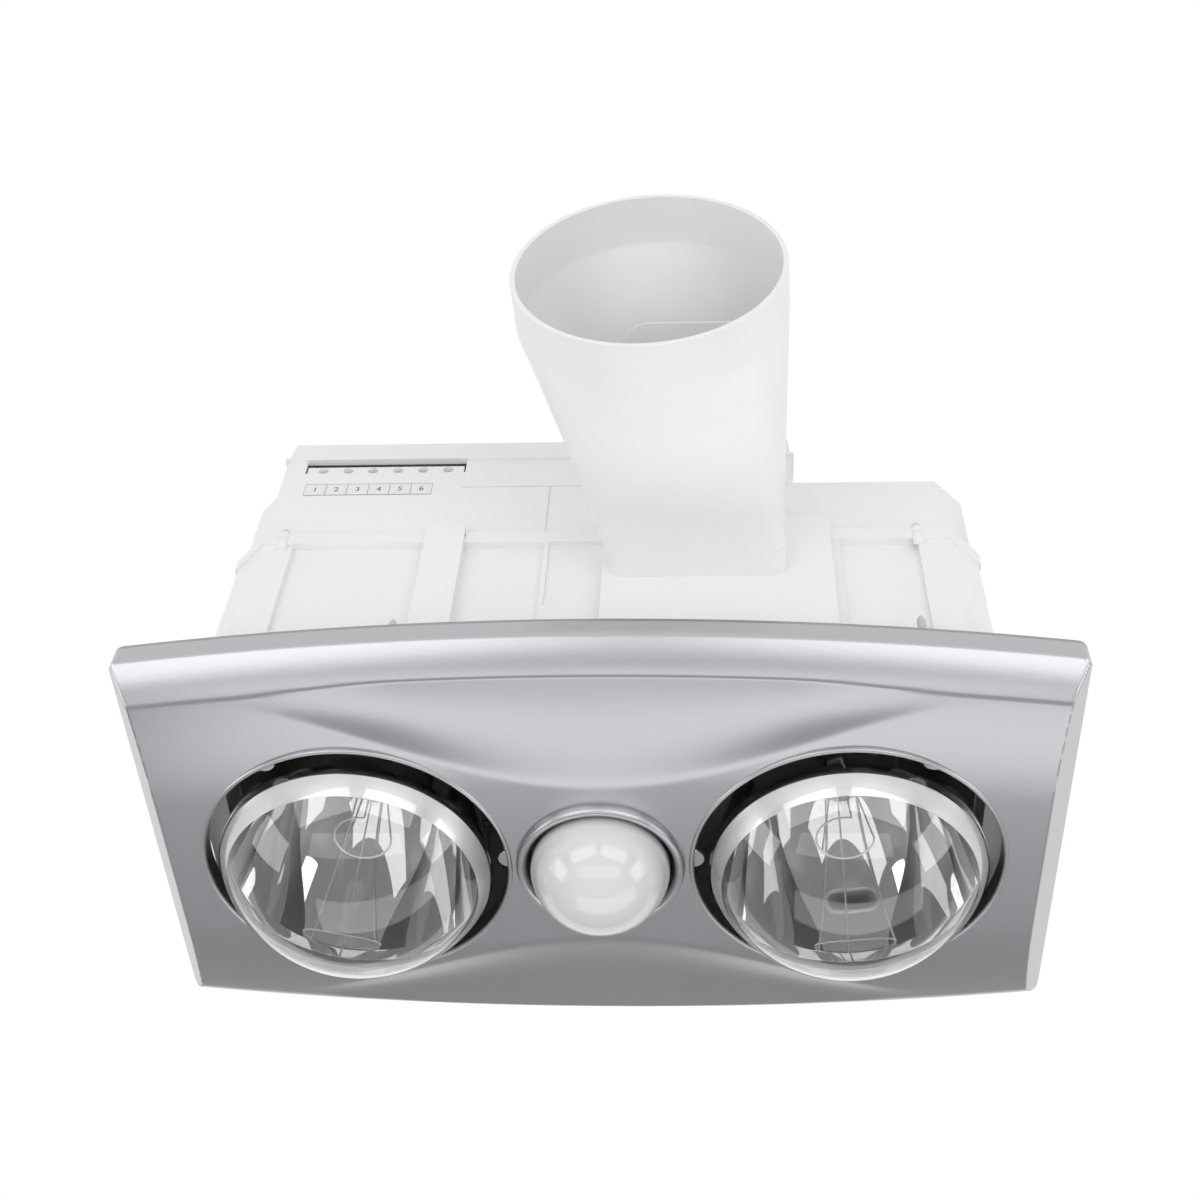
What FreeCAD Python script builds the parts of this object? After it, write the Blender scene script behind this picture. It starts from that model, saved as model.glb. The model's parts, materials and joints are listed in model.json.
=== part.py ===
import FreeCAD
import Part
import math
import os

# Bathroom heater fan light. Millimetres, +Z up, origin at the middle of the fascia on the ceiling plane.
# The duct leaves towards -Y and the fascia hangs below z = 0.

V = FreeCAD.Vector

# Fits and general values
overrun = 1.0
slip_fit = 0.3
running_fit = 0.05
sheet = 1.2
foil = 0.8
big = 400.0

# Heat lamps: 125 mm class reflector bulbs with a clear domed front
heat_lamp_spacing = 220.0
heat_lamp_r = 61.5
heat_lamp_length = 172.0
heat_seat_level = 98.0
heat_dome_depth = 40.0
heat_neck_r = 17.0
heat_neck_length = 18.0
heat_shoulder = 5.0
bowl_reach_share = 0.61
bowl_rise_share = 0.56
glass_wall = 1.0
heat_focus_drop = 62.0
filament_r = 13.0
filament_wire_r = 0.45
filament_turn = 280.0
lead_wires = 3
stem_hollow_share = 0.33

# Light lamp: opal reflector bulb
light_r = 31.2
light_length = 98.0
light_seat_level = 38.0
light_dome_depth = 26.0
light_neck_r = 14.5
light_neck_length = 12.0
light_shoulder = 4.0

# Screw caps and holders
cap_r = 13.2
cap_length = 27.0
cap_wall = 0.5
cap_tip_r = 5.0
cap_tip_length = 4.0
shell_wall = 0.8
shell_length = 18.0
holder_wall = 5.5
holder_base_r = 16.0
holder_base = 7.0
holder_lead = 2.0
contact_width = 7.0
contact_length = 10.0

# Fascia
fascia_width = 415.0
fascia_mid_depth = 236.0
fascia_corner_depth = 208.0
fascia_corner_r = 5.0
fascia_wall = 2.5
skirt_height = 10.0
face_drop = 29.0
roll_width = 15.0
roll_start_slope = 1.28
roll_end_slope = 0.58
slope_run = 54.0
slope_rise = 5.0
lens_rise = 6.5
lens_fade = 18.0
swoosh_mid_y = 47.0
swoosh_end_y = 92.0
swoosh_half = 172.0
ramp_share = 0.47
ramp_least = 12.0
end_bevel_run = 12.0
lamp_gap = 6.8
rim_wall = 2.2
rim_height = 9.0
tab_width = 11.0
tab_reach = 5.0
tab_rise = 4.0
tab_wall = 2.0
tabs_per_hole = 3
light_gap = 1.8
collar_width = 5.0
collar_drop = 4.0
collar_height = 12.0
post_r = 3.0
post_height = 22.0
post_x = 158.0
post_y = 78.0
rib_y = 80.0
rib_half = 96.0
rib_wall = 1.8
rib_height = 8.0
face_rows_x = 41
face_rows_y = 37
roll_rows = 6

# Lower casing
casing_length = 350.0
casing_depth = 190.0
corner_cut = 15.0
casing_wall = 2.2
lower_top = 90.0
lip_height = 4.0
lip_width = 1.2
flange_width = 10.0
flange_wall = 2.5
panel_depth = 3.0
panel_bottom = 12.0
pilaster_x = 146.0
rib_tower_x = -74.0
rib_tower_width = 18.4
rib_tower_out = 3.5
rib_tower_top = 97.0
seam_x = -27.0
seam_width = 0.8
seam_depth = 0.7
inset_bottom = 39.0
inset_depth = 1.2
shelf_level = 12.0
shelf_wall = 2.5
shelf_reach = 24.0
clip_r = 7.0
clip_wall = 0.6
ear_r = 5.0
fixing_left_x = -88.6
fixing_right_x = 140.0
fixing_y = 101.0
fixing_r = 2.0
fixing_neck_r = 1.7
fixing_tip = 22.5
fixing_point = 4.0
fixing_head_r = 4.0
fixing_head = 2.4
boss_left_x = -151.0
boss_right_x = 146.0
boss_r = 2.6
boss_length = 9.0
boss_ear = 4.0
small_screw_r = 1.2
small_head_r = 2.2
small_head = 1.4
small_screw_length = 12.0
shield_gap = 6.0
shield_start_x = 66.0

# Upper casing, wiring compartment and its cover
upper_top = 137.0
upper_inset = 2.0
box_left = -162.0
box_right = 91.0
box_rear = 62.0
box_top = 160.5
slot_left = -152.0
slot_right = -71.0
slot_bottom = 150.0
cover_top = 178.0
cover_draft = 1.0
cover_wall = 2.0
cover_lip = 1.5
cover_lip_height = 3.5
cover_post_inset = 10.0
cover_post_r = 4.0
terminal_ways = 6
terminal_pitch = 12.6
terminal_depth = 18.0
terminal_height = 19.8
terminal_set_back = 0.6
terminal_nose_height = 5.9
terminal_hole_r = 2.6
terminal_screw_r = 2.2
terminal_screw_deep = 4.0
terminal_crown = 4.0

# Outlet frame and duct adapter
outlet_x = 44.5
outlet_width = 79.0
outlet_height = 78.0
outlet_bottom = 50.0
outlet_corner = 5.0
frame_left = 1.0
frame_right = 105.5
frame_bottom = 6.0
frame_shoulder = 97.0
frame_top = 131.0
frame_margin = 2.0
frame_out = 7.0
frame_wall = 2.5
collar_wall = 2.0
collar_reach = 3.5
adapter_wall = 2.2
adapter_length = 124.0
mouth_x = 24.3
mouth_z = 107.0
mouth_r = 60.0
mouth_tip = 5.0
mouth_turn = 2.8
spigot_length = 22.0
socket_length = 4.0
arc_share = 0.22

# Back-draught flap
flap_seat_depth = 12.0
flap_seat_rim = 2.0
flap_seat_reach = 4.0
flap_lap = 1.5
flap_wall = 1.4
flap_corner = 11.0
flap_floor_gap = 1.4
flap_seat_gap = 1.2
flap_open = 98.5
knuckle_r = 2.8
knuckle_gap = 1.0
hinge_pin_r = 1.5
pin_seat = 1.4

# Fan
fan_y = 10.0
impeller_r = 54.0
impeller_gap_low = 9.0
impeller_gap_high = 4.0
blade_count = 30
blade_depth = 9.0
blade_wall = 1.1
blade_lean = 11.0
blade_bow = 2.0
back_plate = 2.0
ring_height = 2.5
ring_width = 5.0
hub_r = 9.0
hub_length = 24.0
scroll_step = 6.0
scroll_steps = 3
scroll_wall = 1.8
tongue_r = 5.0
inlet_wall = 2.0
inlet_r = 44.0
inlet_lip = 4.0
standoff_r = 5.0
standoff_reach = 54.0
standoff_angles = (35.0, 145.0, 235.0)

# Motor
motor_r = 41.0
motor_wall = 2.0
motor_bell = 2.5
core_start = 11.0
core_height = 15.0
core_bore = 19.5
core_slots = 8
core_slot_width = 7.0
core_yoke = 9.0
coil_height = 5.0
coil_in = 22.0
coil_out = 34.0
air_gap = 0.5
shaft_r = 4.0
bearing_r = 7.5
bearing_length = 7.0
bearing_boss = 2.0
motor_top_gap = 9.0
nut_flats_r = 7.0
nut_height = 4.0
nut_washer = 1.0

# Brackets
bracket_width = 20.0
bracket_foot = 12.0
bracket_half = 34.0
light_bracket_half = 52.0

# Derived places
heat_x = heat_lamp_spacing / 2
hole_r = heat_lamp_r + lamp_gap
light_hole_r = light_r + light_gap
half_width = fascia_width / 2
half_length = casing_length / 2
half_depth = casing_depth / 2
heat_cap_end = heat_seat_level
light_cap_end = light_seat_level
heat_lamp_drop = heat_lamp_length - heat_seat_level
light_drop = light_length - light_seat_level
collar_out = adapter_wall + slip_fit
throat_in = collar_out + collar_wall
throat_left = outlet_x - outlet_width / 2 + throat_in
throat_right = outlet_x + outlet_width / 2 - throat_in
throat_bottom = outlet_bottom + throat_in
throat_top = outlet_bottom + outlet_height - throat_in
frame_front = -half_depth - frame_out
mouth_front = frame_front - adapter_length
scroll_roof = throat_top + scroll_wall
inlet_under = throat_bottom - inlet_wall
scroll_end = frame_front + frame_wall
scroll_r = throat_right - scroll_step * (scroll_steps - 1 / 2)
roof_under = upper_top - casing_wall
flap_seat = frame_front - flap_seat_depth - flap_seat_rim
hinge_y = flap_seat - flap_seat_gap - knuckle_r
hinge_z = throat_top - knuckle_r
core_low = scroll_roof + core_start
core_high = core_low + core_height
motor_top = core_high + motor_top_gap
shelf_top = shelf_level + shelf_wall
boss_y = half_depth - upper_inset + small_head_r + slip_fit
panel_inner = half_depth - panel_depth - casing_wall


def box(x0, x1, y0, y1, z0, z1):
    return Part.makeBox(x1 - x0, y1 - y0, z1 - z0, V(x0, y0, z0))


def rod(r, z0, z1, x=0, y=0):
    return Part.makeCylinder(r, z1 - z0, V(x, y, z0))


def tube(r_in, r_out, z0, z1, x=0, y=0):
    return rod(r_out, z0, z1, x, y).cut(rod(r_in, z0 - overrun, z1 + overrun, x, y))


def prism(points, z0, z1):
    """Upright prism over a closed plan of (x, y) points."""
    wire = Part.makePolygon([V(x, y, z0) for x, y in points + points[:1]])
    return Part.Face(wire).extrude(V(0, 0, z1 - z0))


def side_prism(points, x0, x1):
    """Prism along X over a closed outline of (y, z) points."""
    wire = Part.makePolygon([V(x0, y, z) for y, z in points + points[:1]])
    return Part.Face(wire).extrude(V(x1 - x0, 0, 0))


def front_prism(points, y0, y1):
    """Prism along Y over a closed outline of (x, z) points."""
    wire = Part.makePolygon([V(x, y0, z) for x, z in points + points[:1]])
    return Part.Face(wire).extrude(V(0, y1 - y0, 0))


def turned(edges, x, y):
    """Body turned about the upright line at x, y from (r, z) points; three points in a row make an arc."""
    made = []
    for run in edges:
        at = [V(r, 0, z) for r, z in run]
        if len(at) == 3:
            made.append(Part.Arc(at[0], at[1], at[2]).toShape())
        else:
            made.append(Part.LineSegment(at[0], at[1]).toShape())
    face = Part.Face(Part.Wire(made))
    solid = face.revolve(V(0, 0, 0), V(0, 0, 1), 360)
    solid.translate(V(x, y, 0))
    return solid


def lathe(points, x=0, y=0):
    """Body turned from a closed outline of straight (r, z) runs."""
    return turned(list(zip(points, points[1:] + points[:1])), x, y)


def cut_plan(hx, hy, cut):
    """Rectangle with its four corners cut off."""
    return [(-hx, -hy + cut), (-hx + cut, -hy), (hx - cut, -hy), (hx, -hy + cut),
            (hx, hy - cut), (hx - cut, hy), (-hx + cut, hy), (-hx, hy - cut)]


def inset_plan(inset):
    """The casing's plan moved in by inset all round, cut corners too."""
    cut = corner_cut - inset * (2 - math.sqrt(2))
    return cut_plan(half_length - inset, half_depth - inset, cut)


def fuse_all(shapes):
    return shapes[0].multiFuse(shapes[1:]).removeSplitter()


def clamp(value):
    return min(1, max(0, value))


def ease(share):
    return share * share * (3 - 2 * share)


def edge_y(x):
    """Half depth of the fascia at x: an arc through the corners and the bowed middle."""
    sag = (fascia_mid_depth - fascia_corner_depth) / 2
    radius = (sag ** 2 + half_width ** 2) / (2 * sag)
    return math.sqrt(radius ** 2 - x ** 2) - radius + fascia_mid_depth / 2


def face_z(x, y):
    """Height of the fascia's face: a flat arch, raised to a lens along each long edge beyond the swoosh."""
    band_y = edge_y(x) - roll_width
    over = max(0, abs(y) - band_y + slope_run) / slope_run
    arch = slope_rise * over ** 2 - face_drop
    bend = (1 - math.cos(math.pi * min(1, abs(x) / swoosh_half))) / 2
    crest = swoosh_mid_y + (swoosh_end_y - swoosh_mid_y) * bend
    room = band_y - crest
    ramp = ramp_share * max(room, ramp_least)
    lens = ease(clamp((abs(y) - crest) / ramp)) * ease(clamp(room / lens_fade))
    return arch + (lens_rise - face_drop - arch) * lens


def roll_drop(d):
    """Fall of the rolled band at distance d in from the long edge."""
    bend = (roll_start_slope - roll_end_slope) / (2 * roll_width)
    return roll_start_slope * d - bend * d * d


def below(rows):
    """Everything under a surface through rows of points."""
    surface = Part.BSplineSurface()
    surface.interpolate(rows)
    return surface.toShape().extrude(V(0, 0, -big))


def spread(low, high, count):
    return [low + (high - low) * i / (count - 1) for i in range(count)]


def fascia_plan(inset, z0, z1):
    hx = half_width - inset
    corner = edge_y(half_width) - inset
    middle = edge_y(0) - inset
    rear = Part.Arc(V(-hx, corner, z0), V(0, middle, z0), V(hx, corner, z0)).toShape()
    front = Part.Arc(V(hx, -corner, z0), V(0, -middle, z0), V(-hx, -corner, z0)).toShape()
    right = Part.LineSegment(V(hx, corner, z0), V(hx, -corner, z0)).toShape()
    left = Part.LineSegment(V(-hx, -corner, z0), V(-hx, corner, z0)).toShape()
    solid = Part.Face(Part.Wire([rear, right, front, left])).extrude(V(0, 0, z1 - z0))
    upright = [e for e in solid.Edges if abs(e.Vertexes[0].Z - e.Vertexes[-1].Z) > overrun]
    return solid.makeFillet(fascia_corner_r - inset / 2, upright)


def fascia_body(inset, top):
    """Full body of the fascia, moved in by inset from its outer skin."""
    solid = fascia_plan(inset, -face_drop - overrun, top)
    xs = spread(-half_width - overrun, half_width + overrun, face_rows_x)
    ys = spread(-edge_y(0) - overrun, edge_y(0) + overrun, face_rows_y)
    solid = solid.cut(below([[V(x, y, face_z(x, y) + inset) for y in ys] for x in xs]))
    depths = spread(-overrun - inset, roll_width + overrun, roll_rows)
    for side in (-1, 1):
        rows = []
        for x in xs:
            at = [side * (edge_y(x) - inset - d) for d in depths]
            rows.append([V(x, y, inset - skirt_height - roll_drop(d)) for y, d in zip(at, depths)])
        solid = solid.cut(below(rows))
        foot = side * (half_width - inset)
        slant = [(foot, inset - skirt_height), (foot - side * end_bevel_run, inset - face_drop),
                 (foot - side * end_bevel_run, -big), (foot + side * big, -big),
                 (foot + side * big, inset - skirt_height)]
        wire = Part.makePolygon([V(x, -big, z) for x, z in slant + slant[:1]])
        solid = solid.cut(Part.Face(wire).extrude(V(0, 2 * big, 0)))
    return solid


def hole_tabs(x, first):
    """Tongues that reach from a lamp hole's rim towards the lamp."""
    low = tab_rise - face_drop
    tip = hole_r - tab_reach + tab_width / 2
    tabs = []
    for i in range(tabs_per_hole):
        tongue = rod(tab_width / 2, low, low + tab_wall, tip)
        tongue = tongue.fuse(box(tip, hole_r + rim_wall, -tab_width / 2, tab_width / 2, low, low + tab_wall))
        tongue = tongue.common(rod(hole_r + rim_wall / 2, low, low + tab_wall)).removeSplitter()
        tongue.rotate(V(0, 0, 0), V(0, 0, 1), first + 360 * i / tabs_per_hole)
        tongue.translate(V(x, 0, 0))
        tabs.append(tongue)
    return tabs


def light_collar():
    """Rounded ring round the light with a short tube behind it."""
    r0 = light_hole_r
    r1 = light_hole_r + collar_width
    mid = light_hole_r + collar_width / 2
    low = fascia_wall / 2 - face_drop
    crest = -face_drop - collar_drop
    ledge = low + fascia_wall
    top = low + collar_height
    return turned([[(r0, low), (mid, crest), (r1, low)], [(r1, low), (r1, ledge)],
                   [(r1, ledge), (r0 + rim_wall, ledge)], [(r0 + rim_wall, ledge), (r0 + rim_wall, top)],
                   [(r0 + rim_wall, top), (r0, top)], [(r0, top), (r0, low)]], 0, 0)


def fascia():
    half_skin = fascia_body(fascia_wall / 2, 0)
    shell = fascia_body(0, 0).cut(fascia_body(fascia_wall, overrun))
    extras = [light_collar()]
    holes = [rod(light_hole_r + rim_wall / 2, -face_drop - overrun, 0)]
    for side in (-1, 1):
        x = side * heat_x
        extras.append(tube(hole_r, hole_r + rim_wall, fascia_wall / 2 - face_drop, rim_height - face_drop, x))
        extras.extend(hole_tabs(x, 90 + side * 90))
        holes.append(rod(hole_r, -face_drop - overrun, 0, x))
        for end in (-1, 1):
            extras.append(rod(post_r, fascia_wall - face_drop, post_height, side * post_x, end * post_y))
        bar = box(-rib_half, rib_half, side * rib_y - rib_wall / 2, side * rib_y + rib_wall / 2,
                  -face_drop, rib_height + lens_rise - face_drop)
        extras.append(bar.common(half_skin))
    for hole in holes:
        shell = shell.cut(hole)
    return fuse_all([shell] + extras)


def casing_ring(inset, wall, z0, z1):
    """Upright wall that follows the casing's plan."""
    return prism(inset_plan(inset), z0, z1).cut(prism(inset_plan(inset + wall), z0 - overrun, z1 + overrun))


def panel(x0, x1, side):
    """Backing block and cutter of a recessed panel under the lip in the front (side -1) or rear wall."""
    top = lower_top - lip_height
    y0, y1 = sorted((side * half_depth, side * panel_inner))
    block = box(x0 - casing_wall, x1 + casing_wall, y0, y1,
                panel_bottom - casing_wall, top + casing_wall)
    c0, c1 = sorted((side * (half_depth + overrun), side * (half_depth - panel_depth)))
    return block, box(x0, x1, c0, c1, panel_bottom, top)


def lower_casing():
    walls = casing_ring(0, casing_wall, -flange_wall, lower_top)
    lip = casing_ring(-lip_width, lip_width + casing_wall, lower_top - lip_height, lower_top)
    flange = casing_ring(-flange_width, flange_width + casing_wall, -flange_wall, 0)
    added = [walls, lip, flange]
    cuts = []
    tower_left = rib_tower_x - rib_tower_width / 2
    tower_right = rib_tower_x + rib_tower_width / 2
    front = [(-pilaster_x, tower_left), (tower_right, seam_x), (frame_right + casing_wall * 2, pilaster_x)]
    rear = [(-pilaster_x, -casing_wall * 2), (casing_wall * 2, pilaster_x)]
    for side, spans in ((-1, front), (1, rear)):
        for x0, x1 in spans:
            block, recess = panel(x0, x1, side)
            added.append(block)
            cuts.append(recess)
    cuts.append(box(seam_x + casing_wall, frame_left + overrun, -half_depth - overrun,
                    inset_depth - half_depth, inset_bottom, lower_top - lip_height))
    added.append(box(tower_left, tower_right, -half_depth - rib_tower_out, -half_depth + casing_wall,
                     -flange_wall, rib_tower_top))
    cuts.append(box(tower_left - overrun, tower_right + overrun, -half_depth, 0, lower_top, big))
    inner = prism(inset_plan(casing_wall / 2), shelf_level, shelf_top)
    for sx in (-1, 1):
        for sy in (-1, 1):
            x0, x1 = sorted((sx * (post_x - shelf_reach / 2), sx * half_length))
            y0, y1 = sorted((sy * (post_y - shelf_reach / 2), sy * half_depth))
            added.append(box(x0, x1, y0, y1, shelf_level, shelf_top).common(inner))
            cuts.append(rod(post_r + slip_fit, 0, lower_top, sx * post_x, sy * post_y))
    for sy in (-1, 1):
        for x in (fixing_left_x, fixing_right_x):
            added.append(rod(ear_r, -flange_wall, 0, x, sy * fixing_y))
            cuts.append(rod(fixing_r + slip_fit, -big, overrun, x, sy * fixing_y))
        for x in (boss_left_x, boss_right_x):
            y = sy * boss_y
            added.append(rod(boss_r, lower_top - boss_length, lower_top, x, y))
            cuts.append(rod(small_screw_r + slip_fit / 2, lower_top - boss_length + casing_wall, big, x, y))
    solid = fuse_all(added)
    for cutter in cuts:
        solid = solid.cut(cutter)
    window = front_prism(frame_outline(0), -half_depth - big, -panel_inner + casing_wall)
    return solid.cut(window).removeSplitter()


def frame_outline(inset):
    """Outlet frame's outline from the front, moved in by inset: wide foot, narrow head behind the duct."""
    left = frame_left + inset
    right = frame_right - inset
    neck_left = outlet_x - outlet_width / 2 - frame_margin + inset
    neck_right = outlet_x + outlet_width / 2 + frame_margin - inset
    shoulder = frame_shoulder - inset
    low = frame_bottom + inset
    high = frame_top - inset
    return [(left, low), (right, low), (right, shoulder), (neck_right, shoulder),
            (neck_right, high), (neck_left, high), (neck_left, shoulder), (left, shoulder)]


def compartment(inset, z0, z1):
    """Body of the raised wiring compartment, moved in by inset."""
    return box(box_left + inset, box_right - inset, upper_inset + inset - half_depth,
               box_rear - inset, z0, z1)


def cover_posts():
    y = box_rear - cover_post_inset
    return [(box_left + cover_post_inset, y), (box_right - cover_post_inset, y)]


def upper_casing():
    shell = prism(inset_plan(upper_inset), lower_top, upper_top)
    shell = shell.fuse(compartment(0, lower_top, box_top))
    shell = shell.fuse(casing_ring(-lip_width, casing_wall + lip_width + upper_inset, lower_top,
                                   lower_top + lip_height))
    shell = shell.cut(prism(inset_plan(upper_inset + casing_wall), 0, roof_under))
    shell = shell.cut(compartment(casing_wall, upper_top, big))
    added = [shell]
    cuts = [rod(motor_r + overrun, roof_under - overrun, box_top, 0, fan_y)]
    for sy in (-1, 1):
        for x in (boss_left_x, boss_right_x):
            y = sy * boss_y
            added.append(rod(boss_r, lower_top, lower_top + boss_ear, x, y))
            cuts.append(rod(small_screw_r + slip_fit, 0, big, x, y))
    for x, y in cover_posts():
        added.append(rod(cover_post_r, upper_top - casing_wall, cover_top - cover_wall, x, y))
        cuts.append(rod(small_screw_r + slip_fit / 2, cover_top - small_screw_length, big, x, y))
    for x, y in standoffs():
        cuts.append(rod(small_screw_r + slip_fit, roof_under - overrun, upper_top + overrun, x, y))
    cuts.append(box(slot_left, slot_right, -half_depth, upper_inset + casing_wall + overrun - half_depth,
                    slot_bottom, big))
    cuts.append(front_prism(frame_outline(0), -half_depth - big, upper_inset + casing_wall - half_depth))
    face = upper_inset - half_depth
    cuts.append(box(seam_x - seam_width, seam_x, face - overrun, face + seam_depth,
                    lower_top + lip_height, upper_top))
    cuts.append(box(slot_right, box_right - casing_wall, face - overrun, face + seam_depth,
                    upper_top - seam_width, upper_top))
    cuts.append(box(throat_left - scroll_wall - slip_fit, throat_right + scroll_wall + slip_fit,
                    -half_depth - big, casing_wall * 2 - half_depth, 0, scroll_roof + slip_fit))
    cuts.append(box(rib_tower_x - rib_tower_width / 2 - slip_fit, rib_tower_x + rib_tower_width / 2 + slip_fit,
                    -half_depth - big, -half_depth, 0, rib_tower_top + slip_fit))
    solid = fuse_all(added)
    for cutter in cuts:
        solid = solid.cut(cutter)
    return solid.removeSplitter()


def rectangle(inset, z):
    x0 = box_left + inset
    x1 = box_right - inset
    y0 = upper_inset + inset - half_depth
    y1 = box_rear - inset
    return Part.makePolygon([V(x0, y0, z), V(x1, y0, z), V(x1, y1, z), V(x0, y1, z), V(x0, y0, z)])


def wiring_cover():
    """Drafted cap over the wiring compartment with a bulged lip along its lower edge."""
    outer = Part.makeLoft([rectangle(0, box_top), rectangle(cover_draft, cover_top)], True, True)
    lip = Part.makeLoft([rectangle(-cover_lip, box_top), rectangle(-cover_lip, box_top + cover_lip_height / 2),
                         rectangle(0, box_top + cover_lip_height)], True, True)
    inner = Part.makeLoft([rectangle(cover_wall, box_top - overrun),
                           rectangle(cover_wall + cover_draft, cover_top - cover_wall)], True, True)
    solid = outer.fuse(lip).cut(inner)
    for x, y in cover_posts():
        solid = solid.cut(rod(small_screw_r + slip_fit, box_top, big, x, y))
    return solid.removeSplitter()


def small_screw(x, y, seat):
    """Pan-head screw whose head sits on the level seat."""
    shank = rod(small_screw_r, seat - small_screw_length + casing_wall, seat, x, y)
    head = rod(small_head_r, seat, seat + small_head, x, y)
    slot = box(x - small_head_r, x + small_head_r, y - slip_fit, y + slip_fit,
               seat + small_head / 2, seat + small_head + overrun)
    return shank.fuse(head).cut(slot).removeSplitter()


def cover_screws():
    return Part.makeCompound([small_screw(x, y, cover_top) for x, y in cover_posts()])


def casing_screws():
    seat = lower_top + boss_ear
    return Part.makeCompound([small_screw(x, sy * boss_y, seat)
                              for sy in (-1, 1) for x in (boss_left_x, boss_right_x)])


def fixing_screws():
    """Ceiling screws that stand up through the flange ears, thinner where they pass an ear."""
    made = []
    for sy in (-1, 1):
        for x in (fixing_left_x, fixing_right_x):
            tip = fixing_tip - fixing_point
            low = -flange_wall - fixing_head
            made.append(lathe([(0, low), (fixing_head_r / 2, low), (fixing_head_r, -flange_wall),
                               (fixing_neck_r, -flange_wall), (fixing_neck_r, 0), (fixing_r, 0),
                               (fixing_r, tip), (0, fixing_tip)], x, sy * fixing_y))
    return Part.makeCompound(made)


def fascia_clips():
    """Push-on spring discs that grip the fascia's posts above the corner shelves."""
    made = []
    for sx in (-1, 1):
        for sy in (-1, 1):
            x = sx * post_x
            y = sy * post_y
            disc = tube(post_r + slip_fit / 2, clip_r, shelf_top, shelf_top + clip_wall, x, y)
            for turn in range(tabs_per_hole):
                slit = box(0, clip_r / 2 + post_r / 2, -slip_fit, slip_fit, 0, big)
                slit.rotate(V(0, 0, 0), V(0, 0, 1), 360 * turn / tabs_per_hole)
                slit.translate(V(x, y, 0))
                disc = disc.cut(slit)
            made.append(disc)
    return Part.makeCompound(made)


def heat_shield(side):
    """Bent sheet that lines the end and the neighbouring walls of the lower casing."""
    gap = slip_fit
    start = side * shield_start_x
    hx = half_length - casing_wall - gap
    hy = panel_inner - gap
    reach = half_length + half_depth - corner_cut - (casing_wall + gap) * math.sqrt(2)
    outer = cut_plan(hx, hy, hx + hy - reach)
    inner = cut_plan(hx - foil, hy - foil, hx + hy - reach - foil * (2 - math.sqrt(2)))
    low = shelf_top + clip_wall + overrun
    high = lower_top - shield_gap
    ring = prism(outer, low, high).cut(prism(inner, low - overrun, high + overrun))
    x0, x1 = sorted((start, side * big))
    ring = ring.common(box(x0, x1, -big, big, low, high))
    if side > 0:
        ring = ring.cut(box(0, frame_right + frame_wall, -big, 0, low - overrun, high + overrun))
    return ring


def bracket(x, y, half, top, low):
    """Hat-shaped strip: feet under the level top, bridge on the level low, running along Y."""
    out = half + bracket_foot
    run = [(-out, top), (-half, top), (-half, low + sheet), (half, low + sheet), (half, top), (out, top),
           (out, top - sheet), (half + sheet, top - sheet), (half + sheet, low), (-half - sheet, low),
           (-half - sheet, top - sheet), (-out, top - sheet)]
    solid = side_prism([(y + v, z) for v, z in run], x - bracket_width / 2, x + bracket_width / 2)
    return solid.cut(rod(fixing_r, low - overrun, low + sheet + overrun, x, y))


def holder_top(cap_end):
    return cap_end + holder_lead + holder_base


def lampholder(x, cap_end):
    """Ceramic holder: wide skirt round the threaded shell, narrower base with a wire hole."""
    bore = cap_r + slip_fit + shell_wall + slip_fit / 2
    low = cap_end - cap_tip_length - shell_length - holder_lead
    mid = cap_end + holder_lead
    top = holder_top(cap_end)
    outer = bore + holder_wall
    return lathe([(bore, low), (outer, low), (outer, mid - holder_wall), (holder_base_r, mid),
                  (holder_base_r, top), (fixing_r, top), (fixing_r, mid), (bore, mid)], x)


def screw_shell(x, cap_end):
    """Brass shell inside the holder that takes the cap's thread."""
    r = cap_r + slip_fit
    top = cap_end + holder_lead
    low = top - holder_lead - cap_tip_length - shell_length
    return tube(r, r + shell_wall, low, top, x)


def contact(x, cap_end):
    """Brass tongue between the holder's base and the cap's tip."""
    return box(x - contact_length / 2, x + contact_length / 2, -contact_width / 2, contact_width / 2,
               cap_end + slip_fit / 2, cap_end + holder_lead)


def holder_contacts():
    places = ((-heat_x, heat_cap_end), (heat_x, heat_cap_end), (0, light_cap_end))
    return Part.makeCompound([contact(x, end) for x, end in places])


def lamp_cap(x, cap_end):
    """Screw cap with its centre contact."""
    low = cap_end - cap_length
    shoulder = cap_end - cap_tip_length
    inner = cap_r - cap_wall
    return lathe([(inner, low), (cap_r, low), (cap_r, shoulder), (cap_tip_r, shoulder), (cap_tip_r, cap_end),
                  (0, cap_end), (0, shoulder - cap_wall), (inner, shoulder - cap_wall)], x)


def bulb_runs(r, drop, depth, shoulder, neck_r, neck_length, cap_end, inset):
    """Half outline of a reflector bulb, tip first, moved in by inset: dome, shoulder, bowl, neck, cap end."""
    widest = depth - drop
    ball = (r * r + depth * depth) / (2 * depth)
    middle = ball - drop
    half_turn = math.asin(min(1, r / ball)) / 2
    neck_z = cap_end - cap_length - neck_length
    bowl_r = (r + neck_r) * bowl_reach_share
    bowl_z = widest + shoulder + (neck_z - widest - shoulder) * bowl_rise_share
    tip = (0, inset - drop)
    dome = (math.sin(half_turn) * (ball - inset), middle - math.cos(half_turn) * (ball - inset))
    wide = (r - inset, widest)
    over = (r - inset, widest + shoulder)
    bowl = (bowl_r - inset, bowl_z)
    neck = (neck_r - inset, neck_z)
    seat_r = cap_r - cap_wall - slip_fit
    seat = (seat_r - inset, cap_end - cap_length)
    end = (seat_r - inset, cap_end - cap_length + shoulder)
    return [[tip, dome, wide], [wide, over], [over, bowl, neck], [neck, seat], [seat, end]]


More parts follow.
